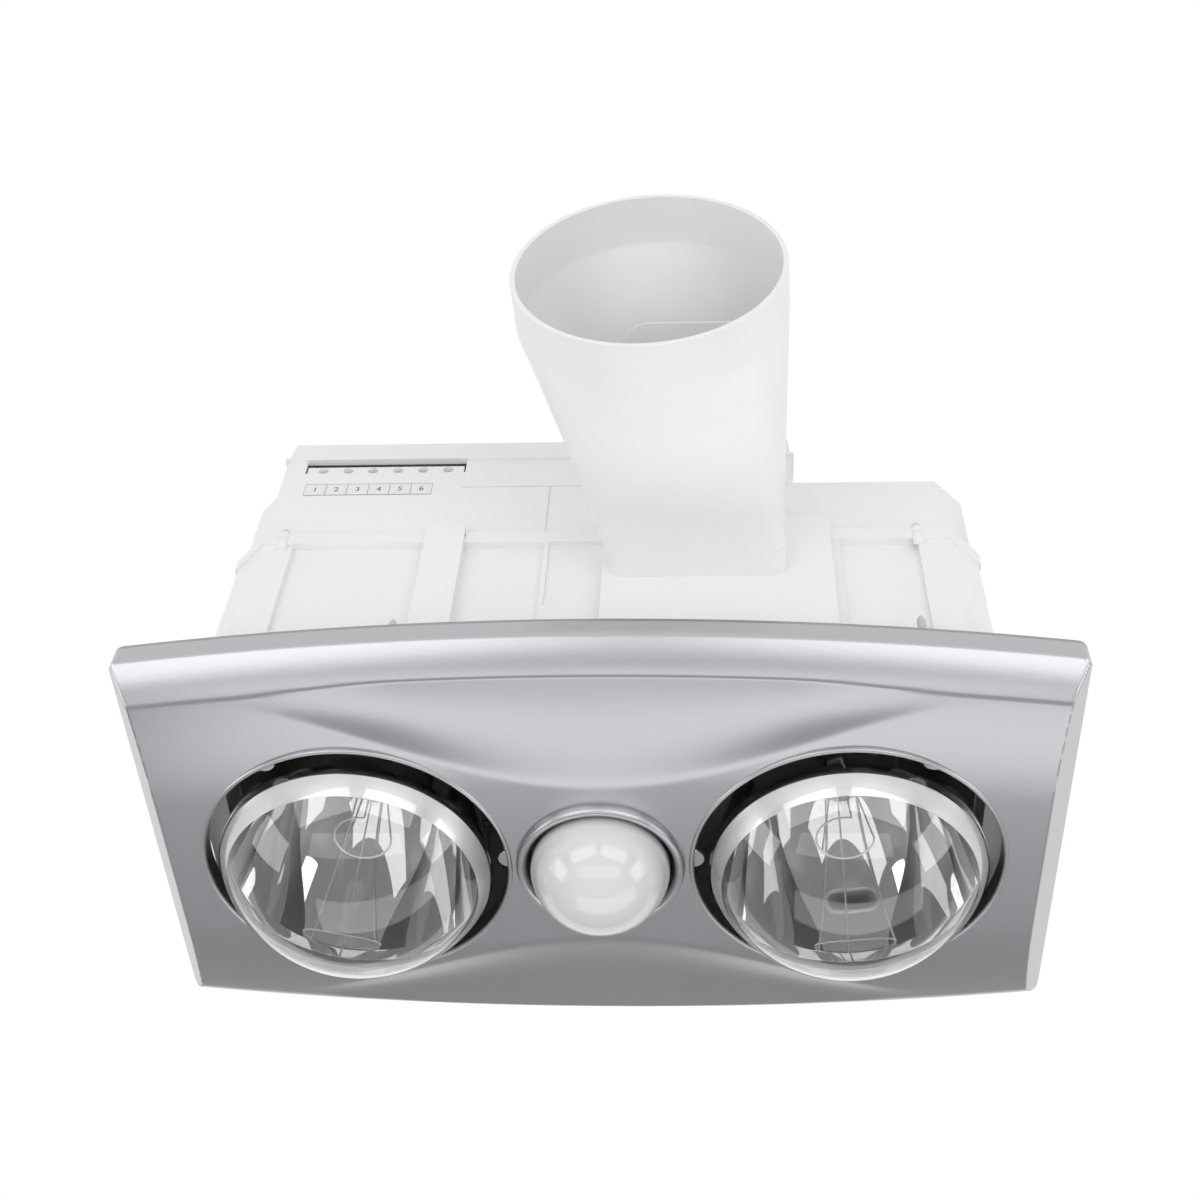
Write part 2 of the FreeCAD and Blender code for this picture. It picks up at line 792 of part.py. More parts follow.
def bulb(x, values):
    """Glass envelope, open at the cap."""
    made = []
    for inset, more in ((0, 0), (glass_wall, overrun)):
        runs = bulb_runs(*values, inset)
        last = runs[-1][-1]
        end = (last[0], last[1] + more)
        runs[-1] = [runs[-1][0], end]
        made.append(turned(runs + [[end, (0, end[1])], [(0, end[1]), runs[0][0]]], x, 0))
    return made[0].cut(made[1])


heat_values = (heat_lamp_r, heat_lamp_drop, heat_dome_depth, heat_shoulder, heat_neck_r, heat_neck_length,
               heat_cap_end)
light_values = (light_r, light_drop, light_dome_depth, light_shoulder, light_neck_r, light_neck_length,
                light_cap_end)


def stem_top():
    return heat_cap_end - cap_length - heat_neck_length


def lamp_stem(x):
    """Glass mount in the neck: a flare that fits the neck and a rod down to the wires."""
    top = stem_top() + heat_neck_length / 2
    thin = cap_tip_r
    rise = heat_neck_length * stem_hollow_share
    narrow = (heat_neck_r + cap_r - cap_wall - slip_fit) / 2 - glass_wall - slip_fit
    return lathe([(0, stem_top() - heat_neck_length), (thin, stem_top() - heat_neck_length),
                  (thin, stem_top()), (narrow, top - sheet), (narrow, top),
                  (0, top - rise + sheet)], x)


def lamp_filament(x):
    """Open ring of wire on upright leads."""
    ring_z = heat_focus_drop - heat_lamp_drop
    ring = Part.makeTorus(filament_r, filament_wire_r, V(x, 0, ring_z), V(0, 0, 1), 0, 360, filament_turn)
    parts = [ring]
    top = stem_top() - heat_neck_length
    inner = cap_tip_r - filament_wire_r * 2
    for i in range(lead_wires):
        turn = math.radians(filament_turn * i / (lead_wires - 1))
        foot = V(x + inner * math.cos(turn), inner * math.sin(turn), top)
        bend = V(x + inner * math.cos(turn), inner * math.sin(turn), top - inner)
        hold = V(x + filament_r * math.cos(turn), filament_r * math.sin(turn), ring_z)
        for start, end in ((bend, foot), (hold, bend)):
            run = end.sub(start)
            parts.append(Part.makeCylinder(filament_wire_r, run.Length, start, run))
        parts.append(Part.makeSphere(filament_wire_r, bend))
    return fuse_all(parts)


def scroll_wire(front, z):
    """Inside of the volute: tongue, three quarter arcs that grow by one step each, straight outlet."""
    a = -scroll_step / 2
    b = scroll_step / 2
    r1 = scroll_r
    r2 = scroll_r + scroll_step
    r3 = scroll_r + 2 * scroll_step
    half = math.sqrt(2) / 2
    nose_y = fan_y + b - r1
    level = [V(throat_left, front, z), V(throat_left, nose_y - tongue_r, z),
             V(throat_left - tongue_r, nose_y, z), V(a, nose_y, z), V(a - r1, fan_y + b, z),
             V(b, fan_y + b + r2, z), V(b + r3, fan_y + a, z), V(b + r3, front, z)]
    nose = V(throat_left - tongue_r * (1 - half), nose_y - tongue_r * (1 - half), z)
    first = V(a - r1 * half, fan_y + b - r1 * half, z)
    second = V(b - r2 * half, fan_y + b + r2 * half, z)
    third = V(b + r3 * half, fan_y + a + r3 * half, z)
    edges = [Part.LineSegment(level[0], level[1]), Part.Arc(level[1], nose, level[2]),
             Part.LineSegment(level[2], level[3]), Part.Arc(level[3], first, level[4]),
             Part.Arc(level[4], second, level[5]), Part.Arc(level[5], third, level[6]),
             Part.LineSegment(level[6], level[7]), Part.LineSegment(level[7], level[0])]
    return Part.Wire([e.toShape() for e in edges])


def scroll_outer(z0, z1):
    """Volute with its wall, cut straight at the outlet."""
    face = Part.Face(scroll_wire(scroll_end, z0)).makeOffset2D(scroll_wall)
    solid = face.extrude(V(0, 0, z1 - z0))
    return solid.cut(box(-big, big, -big, scroll_end, z0 - overrun, z1 + overrun))


def standoffs():
    """Places of the posts that hang the scroll under the casing's roof."""
    return [(standoff_reach * math.cos(math.radians(t)), fan_y + standoff_reach * math.sin(math.radians(t)))
            for t in standoff_angles]


def scroll_case():
    solid = scroll_outer(throat_bottom, scroll_roof)
    hollow = Part.Face(scroll_wire(scroll_end - overrun, throat_bottom - overrun))
    solid = solid.cut(hollow.extrude(V(0, 0, throat_top - throat_bottom + overrun)))
    solid = fuse_all([solid] + [rod(standoff_r, scroll_roof, roof_under, x, y) for x, y in standoffs()])
    for x, y in standoffs():
        solid = solid.cut(rod(small_screw_r + slip_fit / 2, scroll_roof, big, x, y))
    return solid.cut(rod(hub_r + overrun, throat_top - overrun, scroll_roof + overrun, 0, fan_y))


def scroll_screws():
    """Screws through the casing's roof into the scroll's posts."""
    made = []
    for x, y in standoffs():
        made.append(rod(small_screw_r, scroll_roof + overrun, upper_top, x, y).fuse(
            rod(small_head_r, upper_top, upper_top + small_head, x, y)).removeSplitter())
    return Part.makeCompound(made)


def inlet_plate():
    """Floor of the scroll with a bell mouth that leads into the impeller's eye."""
    plate = scroll_outer(inlet_under, throat_bottom)
    plate = plate.cut(rod(inlet_r + inlet_lip, inlet_under - overrun, throat_bottom + overrun, 0, fan_y))
    half = math.sqrt(2) / 2
    r0 = inlet_r + inlet_lip
    low = inlet_under
    high = inlet_under + inlet_lip
    thin = inlet_wall
    bend = (r0 - inlet_lip * half, high - inlet_lip * half)
    shell = (r0 - (inlet_lip - thin) * half, high - (inlet_lip - thin) * half)
    bell = turned([[(r0, low), bend, (inlet_r, high)], [(inlet_r, high), (inlet_r + thin, high)],
                   [(inlet_r + thin, high), shell, (r0, low + thin)], [(r0, low + thin), (r0, low)]], 0, fan_y)
    return plate.fuse(bell).removeSplitter()


def blade(z0, z1):
    """One forward-curved blade beside the X axis, its outer end leading in the sense of turning."""
    r0 = impeller_r - blade_depth
    lean = math.radians(blade_lean)
    start = V(r0, 0, z0)
    end = V(impeller_r * math.cos(lean), -impeller_r * math.sin(lean), z0)
    chord = end.sub(start)
    across = V(chord.y, -chord.x, 0)
    across.normalize()
    bow = V(across).multiply(-blade_bow)
    thick = V(across).multiply(blade_wall)
    mid = start.add(end).multiply(1 / 2).add(bow)
    inner = Part.Arc(start, mid, end).toShape()
    outer = Part.Arc(end.add(thick), mid.add(thick), start.add(thick)).toShape()
    tip = Part.LineSegment(end, end.add(thick)).toShape()
    root = Part.LineSegment(start.add(thick), start).toShape()
    return Part.Face(Part.Wire([inner, tip, outer, root])).extrude(V(0, 0, z1 - z0))


def impeller():
    """Forward-curved wheel: back plate with hub at the motor end, blades, ring at the inlet."""
    low = throat_bottom + impeller_gap_low
    high = throat_top - impeller_gap_high
    plate = rod(impeller_r, high - back_plate, high)
    ring = tube(impeller_r - ring_width, impeller_r, low, low + ring_height)
    hub = rod(hub_r, high - hub_length, high)
    one = blade(low + ring_height / 2, high - back_plate / 2)
    blades = []
    for i in range(blade_count):
        turned_one = one.copy()
        turned_one.rotate(V(0, 0, 0), V(0, 0, 1), 360 * i / blade_count)
        blades.append(turned_one)
    solid = fuse_all([plate, ring, hub] + blades)
    solid = solid.cut(rod(shaft_r, low, high + overrun))
    solid.translate(V(0, fan_y, 0))
    return solid


def shaft_low():
    return throat_top - impeller_gap_high - hub_length - nut_height - nut_washer * 2


def impeller_nut():
    """Hexagon nut with its washer under the hub."""
    seat = throat_top - impeller_gap_high - hub_length
    corners = []
    for i in range(6):
        turn = math.radians(60 * i)
        corners.append((nut_flats_r * math.cos(turn), fan_y + nut_flats_r * math.sin(turn)))
    nut = prism(corners, seat - nut_washer - nut_height, seat - nut_washer)
    washer = rod(hub_r - overrun, seat - nut_washer, seat, 0, fan_y)
    return fuse_all([nut, washer]).cut(rod(shaft_r, shaft_low() - overrun, seat + overrun, 0, fan_y))


def motor_shaft():
    return rod(shaft_r, shaft_low(), motor_top + bearing_boss, 0, fan_y)


def motor_rotor():
    return tube(shaft_r, core_bore - air_gap, core_low, core_high, 0, fan_y)


def motor_core():
    """Laminated ring with open winding slots round its bore."""
    solid = tube(core_bore, motor_r - motor_wall - slip_fit, core_low, core_high, 0, fan_y)
    for i in range(core_slots):
        pocket = box(core_bore - overrun, motor_r - motor_wall - core_yoke, -core_slot_width / 2,
                     core_slot_width / 2, core_low - overrun, core_high + overrun)
        pocket.rotate(V(0, 0, 0), V(0, 0, 1), 360 * i / core_slots)
        pocket.translate(V(0, fan_y, 0))
        solid = solid.cut(pocket)
    return solid


def coil_end(low):
    """Rounded bundle of turns on one end of the core."""
    mid = (coil_in + coil_out) / 2
    high = low + coil_height
    side = low + coil_height / 2
    crown = [(coil_out, side), (mid, high), (coil_in, side)]
    return turned([[(coil_in, low), (coil_out, low)], [(coil_out, low), (coil_out, side)],
                   crown, [(coil_in, side), (coil_in, low)]], 0, fan_y)


def motor_coils():
    upper = coil_end(core_high)
    lower = coil_end(core_high).mirror(V(0, 0, (core_low + core_high) / 2), V(0, 0, 1))
    return Part.makeCompound([upper, lower])


def bell(base, rim, inner):
    """End bell between the level base, outside, and the level rim, with a bearing boss of depth inner."""
    sense = 1 if rim > base else -1
    plate = base + sense * motor_bell
    tip = base + sense * inner
    boss_out = bearing_r + bearing_boss
    return lathe([(bearing_r, base), (motor_r, base), (motor_r, rim), (motor_r - motor_wall, rim),
                  (motor_r - motor_wall, plate), (boss_out, plate), (boss_out, tip), (bearing_r, tip)], 0, fan_y)


def motor_bell_lower():
    return bell(scroll_roof, (core_low + core_high) / 2, bearing_length)


def motor_bell_upper():
    return bell(motor_top, (core_low + core_high) / 2, bearing_length)


def bearing(low):
    return tube(shaft_r + running_fit, bearing_r, low, low + bearing_length, 0, fan_y)


def motor_bearings():
    return Part.makeCompound([bearing(scroll_roof), bearing(motor_top - bearing_length)])


def terminal_places():
    middle = (slot_left + slot_right) / 2
    first = middle - terminal_pitch * (terminal_ways - 1) / 2
    return [first + terminal_pitch * i for i in range(terminal_ways)]


def terminal_front():
    return upper_inset + casing_wall + slip_fit - half_depth


def terminal_block():
    """Row of barrels with a wire hole in front and a screw hole on top of each."""
    front = terminal_front()
    rear = front + terminal_depth
    middle_y = front + terminal_depth / 2
    high = upper_top + terminal_height
    step = terminal_pitch / 2
    half = terminal_pitch / 2 - overrun
    parts = [box(terminal_places()[0] - step, terminal_places()[-1] + step, front, rear,
                 upper_top, high - terminal_crown)]
    for x in terminal_places():
        parts.append(side_prism([(front, high - terminal_crown), (front + terminal_crown, high),
                                 (rear - terminal_crown, high), (rear, high - terminal_crown)],
                                x - half, x + half))
    nose_low = slot_bottom + slip_fit
    parts.append(box(slot_left + overrun, slot_right - overrun, upper_inset + terminal_set_back - half_depth,
                     front + terminal_crown, nose_low, nose_low + terminal_nose_height))
    solid = fuse_all(parts)
    for x in terminal_places():
        hole = Part.makeCylinder(terminal_hole_r, terminal_depth + front + half_depth,
                                 V(x, -half_depth, nose_low + terminal_nose_height / 2), V(0, 1, 0))
        solid = solid.cut(hole)
        well = rod(terminal_screw_r + slip_fit, high - terminal_screw_deep, high + overrun, x, middle_y)
        solid = solid.cut(well)
    return solid


def terminal_screws():
    made = []
    high = upper_top + terminal_height
    y = terminal_front() + terminal_depth / 2
    for x in terminal_places():
        head = rod(terminal_screw_r, high - terminal_screw_deep, high - overrun, x, y)
        made.append(head.cut(box(x - terminal_screw_r, x + terminal_screw_r, y - slip_fit, y + slip_fit,
                                 high - overrun * 2, high)))
    return Part.makeCompound(made)


def duct_square(inset, y=frame_front):
    """Rounded square of the adapter's casing end: a straight run and a corner arc for each side."""
    hw = outlet_width / 2 - inset
    hh = outlet_height / 2 - inset
    cr = outlet_corner - inset / 2
    nook = cr * (1 - math.sqrt(2) / 2)
    edges = []
    for k in range(4):
        turn = FreeCAD.Rotation(V(0, 1, 0), -90 * k)
        long, wide = (hw, hh) if k % 2 == 0 else (hh, hw)
        level = outlet_bottom + outlet_height / 2
        at = [turn.multVec(V(x, 0, z)).add(V(outlet_x, y, level))
              for x, z in ((long, cr - wide), (long, wide - cr), (long - nook, wide - nook), (long - cr, wide))]
        edges.append(Part.LineSegment(at[0], at[1]).toShape())
        edges.append(Part.Arc(at[1], at[2], at[3]).toShape())
    return Part.Wire(edges)


def mouth_turned():
    """Rotation that points the spigot a little down and to the left of straight forward."""
    return FreeCAD.Rotation(V(0, 0, 1), -mouth_turn).multiply(FreeCAD.Rotation(V(1, 0, 0), mouth_tip))


def spigot_axis():
    return mouth_turned().multVec(V(0, -1, 0))


def spigot_root():
    """Middle of the circle where the taper ends and the round spigot starts."""
    return V(mouth_x, mouth_front, mouth_z).sub(spigot_axis().multiply(spigot_length))


def duct_circle(inset):
    """Circle at the root of the spigot, split like the square so that straight runs meet long arcs."""
    r = mouth_r - inset
    flat = 90 * (1 - arc_share) / 2
    edges = []
    for k in range(4):
        for first, last in ((-flat, flat), (flat, 90 - flat)):
            angles = [math.radians(90 * k + a) for a in (first, (first + last) / 2, last)]
            spokes = [V(r * math.cos(a), 0, r * math.sin(a)) for a in angles]
            at = [mouth_turned().multVec(spoke).add(spigot_root()) for spoke in spokes]
            edges.append(Part.Arc(at[0], at[1], at[2]).toShape())
    return Part.Wire(edges)


def duct_body(inset, extra):
    """Adapter's outer form moved in by inset; extra lengthens both ends for a cutter."""
    socket = Part.Face(duct_square(inset, frame_front + extra)).extrude(V(0, -socket_length - extra, 0))
    taper = Part.makeLoft([duct_square(inset, frame_front - socket_length), duct_circle(inset)], True, True)
    spigot = Part.makeCylinder(mouth_r - inset, spigot_length + extra, spigot_root(), spigot_axis())
    return [socket, taper, spigot]


def duct_form(inset):
    """Adapter's outer form as one solid, moved in by inset and longer at both ends."""
    return fuse_all(duct_body(inset, overrun))


def hinge_line(clear):
    """Round bar along the flap's hinge that ends inside the adapter's side walls."""
    bar = Part.makeCylinder(hinge_pin_r, big, V(outlet_x - big / 2, hinge_y, hinge_z), V(1, 0, 0))
    return bar.common(duct_form(adapter_wall - pin_seat - clear))


def duct_adapter():
    """Square-to-round wall with a rim inside for the flap to close on and two seats for its pin."""
    solid = fuse_all(duct_body(0, 0))
    rim = solid.common(box(-big, big, flap_seat, flap_seat + flap_seat_rim, 0, big))
    bore = Part.Face(duct_square(throat_in + flap_seat_reach))
    rim = rim.cut(bore.extrude(V(0, flap_seat - frame_front - overrun, 0)))
    return fuse_all([solid.cut(duct_form(adapter_wall)), rim]).cut(hinge_line(slip_fit))


def flap_pin():
    """Wire that carries the flap between the side walls."""
    return hinge_line(0)


def damper_flap():
    """Flap with rounded free corners and a knuckle along its hinge, made hanging and swung open."""
    left = throat_left + flap_seat_reach - flap_lap
    right = throat_right - flap_seat_reach + flap_lap
    low = outlet_bottom + adapter_wall + flap_floor_gap
    face = hinge_y + knuckle_r
    plate = box(left, right, face - flap_wall, face, low, hinge_z)
    ends = [e for e in plate.Edges if e.Length < 2 * flap_wall and e.CenterOfMass.z < hinge_z - flap_wall]
    plate = plate.makeFillet(flap_corner, ends)
    start = V(left + knuckle_gap, hinge_y, hinge_z)
    knuckle = Part.makeCylinder(knuckle_r, right - left - 2 * knuckle_gap, start, V(1, 0, 0))
    bore = Part.makeCylinder(hinge_pin_r + running_fit, right - left, V(left, hinge_y, hinge_z), V(1, 0, 0))
    solid = plate.fuse(knuckle).cut(bore).removeSplitter()
    solid.rotate(V(outlet_x, hinge_y, hinge_z), V(1, 0, 0), -flap_open)
    return solid


def outlet_frame():
    """Plate in front of the casing with the square collar that carries the adapter."""
    back = scroll_end
    plate = front_prism(frame_outline(slip_fit), frame_front, back)
    rim = front_prism(frame_outline(slip_fit), back, -half_depth + casing_wall)
    rim = rim.cut(front_prism(frame_outline(frame_wall), back, 0))
    collar = Part.Face(duct_square(collar_out)).extrude(V(0, -collar_reach, 0))
    bore = Part.Face(duct_square(throat_in)).extrude(V(0, -collar_reach - overrun, 0))
    rest = Part.Face(duct_square(throat_in)).extrude(V(0, frame_wall + overrun, 0))
    return fuse_all([plate, rim, collar]).cut(bore).cut(rest)


nodes = {
    "fascia": fascia(),
    "lower_casing": lower_casing(),
    "upper_casing": upper_casing(),
    "wiring_cover": wiring_cover(),
    "cover_screws": cover_screws(),
    "casing_screws": casing_screws(),
    "fixing_screws": fixing_screws(),
    "fascia_clips": fascia_clips(),
    "heat_shield_left": heat_shield(-1),
    "heat_shield_right": heat_shield(1),
    "light_bracket": bracket(0, 0, light_bracket_half, inlet_under, holder_top(light_cap_end)),
    "lampholder_light": lampholder(0, light_cap_end),
    "screw_shell_light": screw_shell(0, light_cap_end),
    "holder_contacts": holder_contacts(),
    "light_bulb_glass": bulb(0, light_values),
    "light_bulb_cap": lamp_cap(0, light_cap_end),
    "scroll_case": scroll_case(),
    "scroll_screws": scroll_screws(),
    "inlet_plate": inlet_plate(),
    "impeller": impeller(),
    "impeller_nut": impeller_nut(),
    "motor_shaft": motor_shaft(),
    "motor_rotor": motor_rotor(),
    "motor_core": motor_core(),
    "motor_coils": motor_coils(),
    "motor_bell_lower": motor_bell_lower(),
    "motor_bell_upper": motor_bell_upper(),
    "motor_bearings": motor_bearings(),
    "terminal_block": terminal_block(),
    "terminal_screws": terminal_screws(),
    "outlet_frame": outlet_frame(),
    "duct_adapter": duct_adapter(),
    "damper_flap": damper_flap(),
    "flap_pin": flap_pin(),
}
for name, lamp_x in (("left", -heat_x), ("right", heat_x)):
    nodes["lamp_bracket_" + name] = bracket(lamp_x, 0, bracket_half, roof_under, holder_top(heat_cap_end))
    nodes["lampholder_" + name] = lampholder(lamp_x, heat_cap_end)
    nodes["screw_shell_" + name] = screw_shell(lamp_x, heat_cap_end)
    nodes["heat_lamp_glass_" + name] = bulb(lamp_x, heat_values)
    nodes["heat_lamp_cap_" + name] = lamp_cap(lamp_x, heat_cap_end)
    nodes["heat_lamp_stem_" + name] = lamp_stem(lamp_x)
    nodes["heat_lamp_filament_" + name] = lamp_filament(lamp_x)

os.makedirs("parts", exist_ok=True)
for name, shape in nodes.items():
    shape.exportStep("parts/" + name + ".step")
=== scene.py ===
import json

import bmesh
import bpy
import numpy as np
from bpy.props import FloatProperty, FloatVectorProperty, IntProperty, PointerProperty
from mathutils import Matrix, Vector


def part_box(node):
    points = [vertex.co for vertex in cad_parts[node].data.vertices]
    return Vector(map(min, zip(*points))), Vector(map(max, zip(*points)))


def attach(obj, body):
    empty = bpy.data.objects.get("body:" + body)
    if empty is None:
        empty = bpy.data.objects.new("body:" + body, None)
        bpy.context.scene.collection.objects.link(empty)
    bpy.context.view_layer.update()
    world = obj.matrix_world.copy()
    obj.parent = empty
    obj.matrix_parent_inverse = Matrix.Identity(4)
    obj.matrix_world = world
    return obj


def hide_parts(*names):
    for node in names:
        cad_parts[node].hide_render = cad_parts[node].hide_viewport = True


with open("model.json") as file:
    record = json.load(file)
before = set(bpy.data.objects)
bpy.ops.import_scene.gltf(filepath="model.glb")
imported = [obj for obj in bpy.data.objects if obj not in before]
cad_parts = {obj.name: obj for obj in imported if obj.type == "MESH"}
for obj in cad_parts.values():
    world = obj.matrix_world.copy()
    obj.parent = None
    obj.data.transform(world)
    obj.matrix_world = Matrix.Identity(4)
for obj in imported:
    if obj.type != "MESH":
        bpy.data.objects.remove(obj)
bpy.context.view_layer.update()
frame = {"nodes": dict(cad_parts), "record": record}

bl_info = {
    "name": "Bathroom heater fan light",
    "version": (1, 0, 0),
    "blender": (4, 5, 0),
    "location": "View3D > Sidebar > Heater",
    "description": "Dresses a ceiling heater, fan and light with smooth forms and finishes",
    "category": "Object",
}

MM = 0.001
MERGE = 1e-6  # points nearer than this become one
SLIVER = 1e-7  # faces thinner than this are taken out
SHARP = np.radians(45)  # edges that turn more than this stay sharp in the shading
FLAT = np.radians(1)  # faces that turn less than this become one
FINE_ROUND = 160  # points round a heat lamp
ROLL_OVERLAP = 1.2  # how far the band's curve runs on below the face, in band widths
FAR_BELOW = -1.0  # level below everything, in metres
BEVEL_REACH = 1.3  # how far the fine stations run in from the ends, in bevel runs
BAND_LEAST = 0.8  # nearest start of the band's rows, as a share of the half depth
SNAP = 0.75  # how near a hole's edge a point is drawn onto it, in mesh steps
HOLE_SLACK = 0.02 * MM  # points this near a hole's edge count as on it


def span(node, axis):
    """Size of a solid along one axis, in metres."""
    low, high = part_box(node)
    return high[axis] - low[axis]


def middle(node):
    """Middle of a solid's box, in metres."""
    low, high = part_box(node)
    return (low + high) / 2


def length(label, about, value):
    """Property for a length in metres."""
    return FloatProperty(name=label, description=about, default=value, unit="LENGTH", precision=5)


def number(label, about, value, unit="NONE"):
    """Property for a share, a slope or another number, with its unit."""
    return FloatProperty(name=label, description=about, default=value, unit=unit)


def vector(label, about, kind, value):
    """Property for a place or a direction."""
    return FloatVectorProperty(name=label, description=about, default=value, subtype=kind)


def colour(label, about, value):
    """Property for a colour without alpha."""
    return FloatVectorProperty(name=label, description=about, default=value, subtype="COLOR", min=0, max=1)


class FasciaSettings(bpy.types.PropertyGroup):
    """Sizes of the silver fascia."""

    width: length("Width", "Along the lamps", span("fascia", 0))
    mid_depth: length("Middle depth", "Across the bowed middle", span("fascia", 1))
    corner_depth: length("Corner depth", "Across the ends", 208 * MM)
    corner_r: length("Corner radius", "Of the four corners in plan", 5 * MM)
    wall: length("Wall", "Thickness of the moulding", 2.5 * MM)
    skirt: length("Skirt", "Height of the upright edge", 10 * MM)
    drop: length("Drop", "Depth of the face below the ceiling", 29 * MM)
    roll_width: length("Roll width", "Width of the rolled band", 15 * MM)
    roll_start: number("Roll start", "Slope of the band at the edge", 1.28)
    roll_end: number("Roll end", "Slope of the band at the crease", 0.58)
    slope_run: length("Slope run", "How far the face slopes in from the band", 54 * MM)
    slope_rise: length("Slope rise", "How far the face rises to the band", 5 * MM)
    lens_rise: length("Lens rise", "Height of the lens-shaped recesses", 6.5 * MM)
    lens_fade: length("Lens fade", "Room over which a lens dies away", 34 * MM)
    swoosh_mid: length("Swoosh middle", "Swoosh from the middle line, at the light", 47 * MM)
    swoosh_end: length("Swoosh end", "Swoosh from the middle line, at its ends", 92 * MM)
    swoosh_half: length("Swoosh half length", "Where the swoosh meets the band", 172 * MM)
    soft_hinge: number("Soft hinge", "Share of the lens that rounds its start", 0.06)
    ramp_least: length("Least ramp", "Room that the narrowest ramp is worked out from", 12 * MM)
    bevel_run: length("End bevel", "How far the slanted ends lean in", 12 * MM)
    hole_r: length("Lamp hole radius", "Of the two large holes", 68.3 * MM)
    rim_wall: length("Rim wall", "Thickness of the tube behind each hole", 2.2 * MM)
    post_x: length("Post X", "From the middle to a post", 158 * MM)
    post_y: length("Post Y", "From the middle to a post", 78 * MM)
    post_r: length("Post radius", "Of the posts behind the fascia", 3 * MM)
    post_tip: number("Post tip", "Share of the radius that is flat at the end", 0.7)
    post_foot: number("Post foot", "Share of the wall that lies below a post's foot", 0.9)
    rim_start: length("Rim start", "From the face to the lip's middle", 0.3 * MM)
    rim_height: length("Rim height", "Of the tube behind each hole", 9 * MM)
    light_hole_r: length("Light hole radius", "Of the middle hole", 33 * MM)
    collar_width: length("Collar width", "Of the ring round the light", 5 * MM)
    collar_drop: length("Collar drop", "How far the ring stands out", 4 * MM)
    collar_tube: length("Collar tube", "Height of the tube behind the ring", 12 * MM)
    tongue_width: length("Tongue width", "Of the tabs in the lamp holes", 11 * MM)
    tongue_reach: length("Tongue reach", "Of the tabs into the holes", 5 * MM)
    tongue_level: length("Tongue level", "From the face to the tabs", 4 * MM)
    tongue_thick: length("Tongue thickness", "Of the tabs", 2 * MM)
    tongue_edge: length("Tongue edge", "Bevel under the tabs", 0.4 * MM)
    step: length("Mesh step", "Size of the face's grid", 1.7 * MM)


class LampSettings(bpy.types.PropertyGroup):
    """Sizes of the lamps."""

    spacing: length("Spacing", "Between the heat lamps", middle("heat_lamp_glass_right").x * 2)
    heat_r: length("Heat lamp radius", "At the widest place", 61.5 * MM)
    heat_depth: length("Heat dome depth", "From the widest place to the tip", 40 * MM)
    light_r: length("Light radius", "At the widest place", 31.2 * MM)
    light_depth: length("Light dome depth", "From the widest place to the tip", 26 * MM)
    heat_shoulder: length("Heat lamp shoulder", "Straight stretch at the widest place", 5 * MM)
    heat_neck_r: length("Heat lamp neck radius", "Where the bowl ends", 17 * MM)
    heat_neck: length("Heat lamp neck", "From the bowl to the cap", 18 * MM)
    light_shoulder: length("Light shoulder", "Straight stretch at the widest place", 4 * MM)
    light_neck_r: length("Light neck radius", "Where the bowl ends", 14.5 * MM)
    light_neck: length("Light neck", "From the bowl to the cap", 12 * MM)
    seat_r: length("Seat radius", "Of the glass inside the caps", 12.4 * MM)
    glass: length("Glass", "Wall of the bulbs", 1 * MM)
    silver_start: length("Silver start", "From the widest place to the edge of the silvering", 0.5 * MM)
    silver_gap: length("Silver gap", "From the glass to its silvering", 0.2 * MM)
    band_rows: IntProperty(name="Band rows", description="Rows of the dome that are silvered", default=6)


class CasingSettings(bpy.types.PropertyGroup):
    """Edges of the white mouldings."""

    edge: length("Edge", "Width of the rounded edges", 0.5 * MM)
    least_turn: number("Least turn", "Edges that turn more are rounded", np.radians(35), "ROTATION")


class DuctSettings(bpy.types.PropertyGroup):
    """Sizes of the duct adapter."""

    base_x: length("Base middle", "Middle of the square end along X", 44.5 * MM)
    base_width: length("Base width", "Of the square end", 79 * MM)
    base_height: length("Base height", "Of the square end", 78 * MM)
    base_low: length("Base level", "Underside of the square end", 50 * MM)
    base_corner: length("Base corner", "Corner radius of the square end", 5 * MM)
    mouth_r: length("Mouth radius", "Of the round end", 60 * MM)
    spigot: length("Spigot", "Straight round stretch at the mouth", 22 * MM)
    socket: length("Socket", "Straight square stretch at the casing", 4 * MM)
    arc_share: number("Arc share", "Share of the circle at the corners", 0.22)
    wall: length("Wall", "Of the adapter", 2.2 * MM)
    seat_depth: length("Seat depth", "From the square end to the flap's seat", 12 * MM)
    seat_rim: length("Seat rim", "Thickness of the flap's seat", 2 * MM)
    seat_inset: length("Seat inset", "From the square end's outline to the seat's bore", 8.5 * MM)


class LabelSettings(bpy.types.PropertyGroup):
    """Sizes of the strip that numbers the terminals."""

    left: length("Left end", "Along X", -149.5 * MM)
    right: length("Right end", "Along X", -86 * MM)
    low: length("Lower edge", "Level of the lower edge", 130.6 * MM)
    high: length("Upper edge", "Level of the upper edge", 140.3 * MM)
    face: length("Face", "Plane of the wall it sits on", -93 * MM)
    thick: length("Thickness", "Of the paper", 0.15 * MM)
    line: length("Line", "Width of the printed lines", 0.35 * MM)
    digit: length("Digit", "Size of the numbers", 5.2 * MM)
    digit_lift: number("Digit lift", "From the wall, in thicknesses of the paper", 1.2)
    cells: IntProperty(name="Cells", description="One for each terminal", default=6)


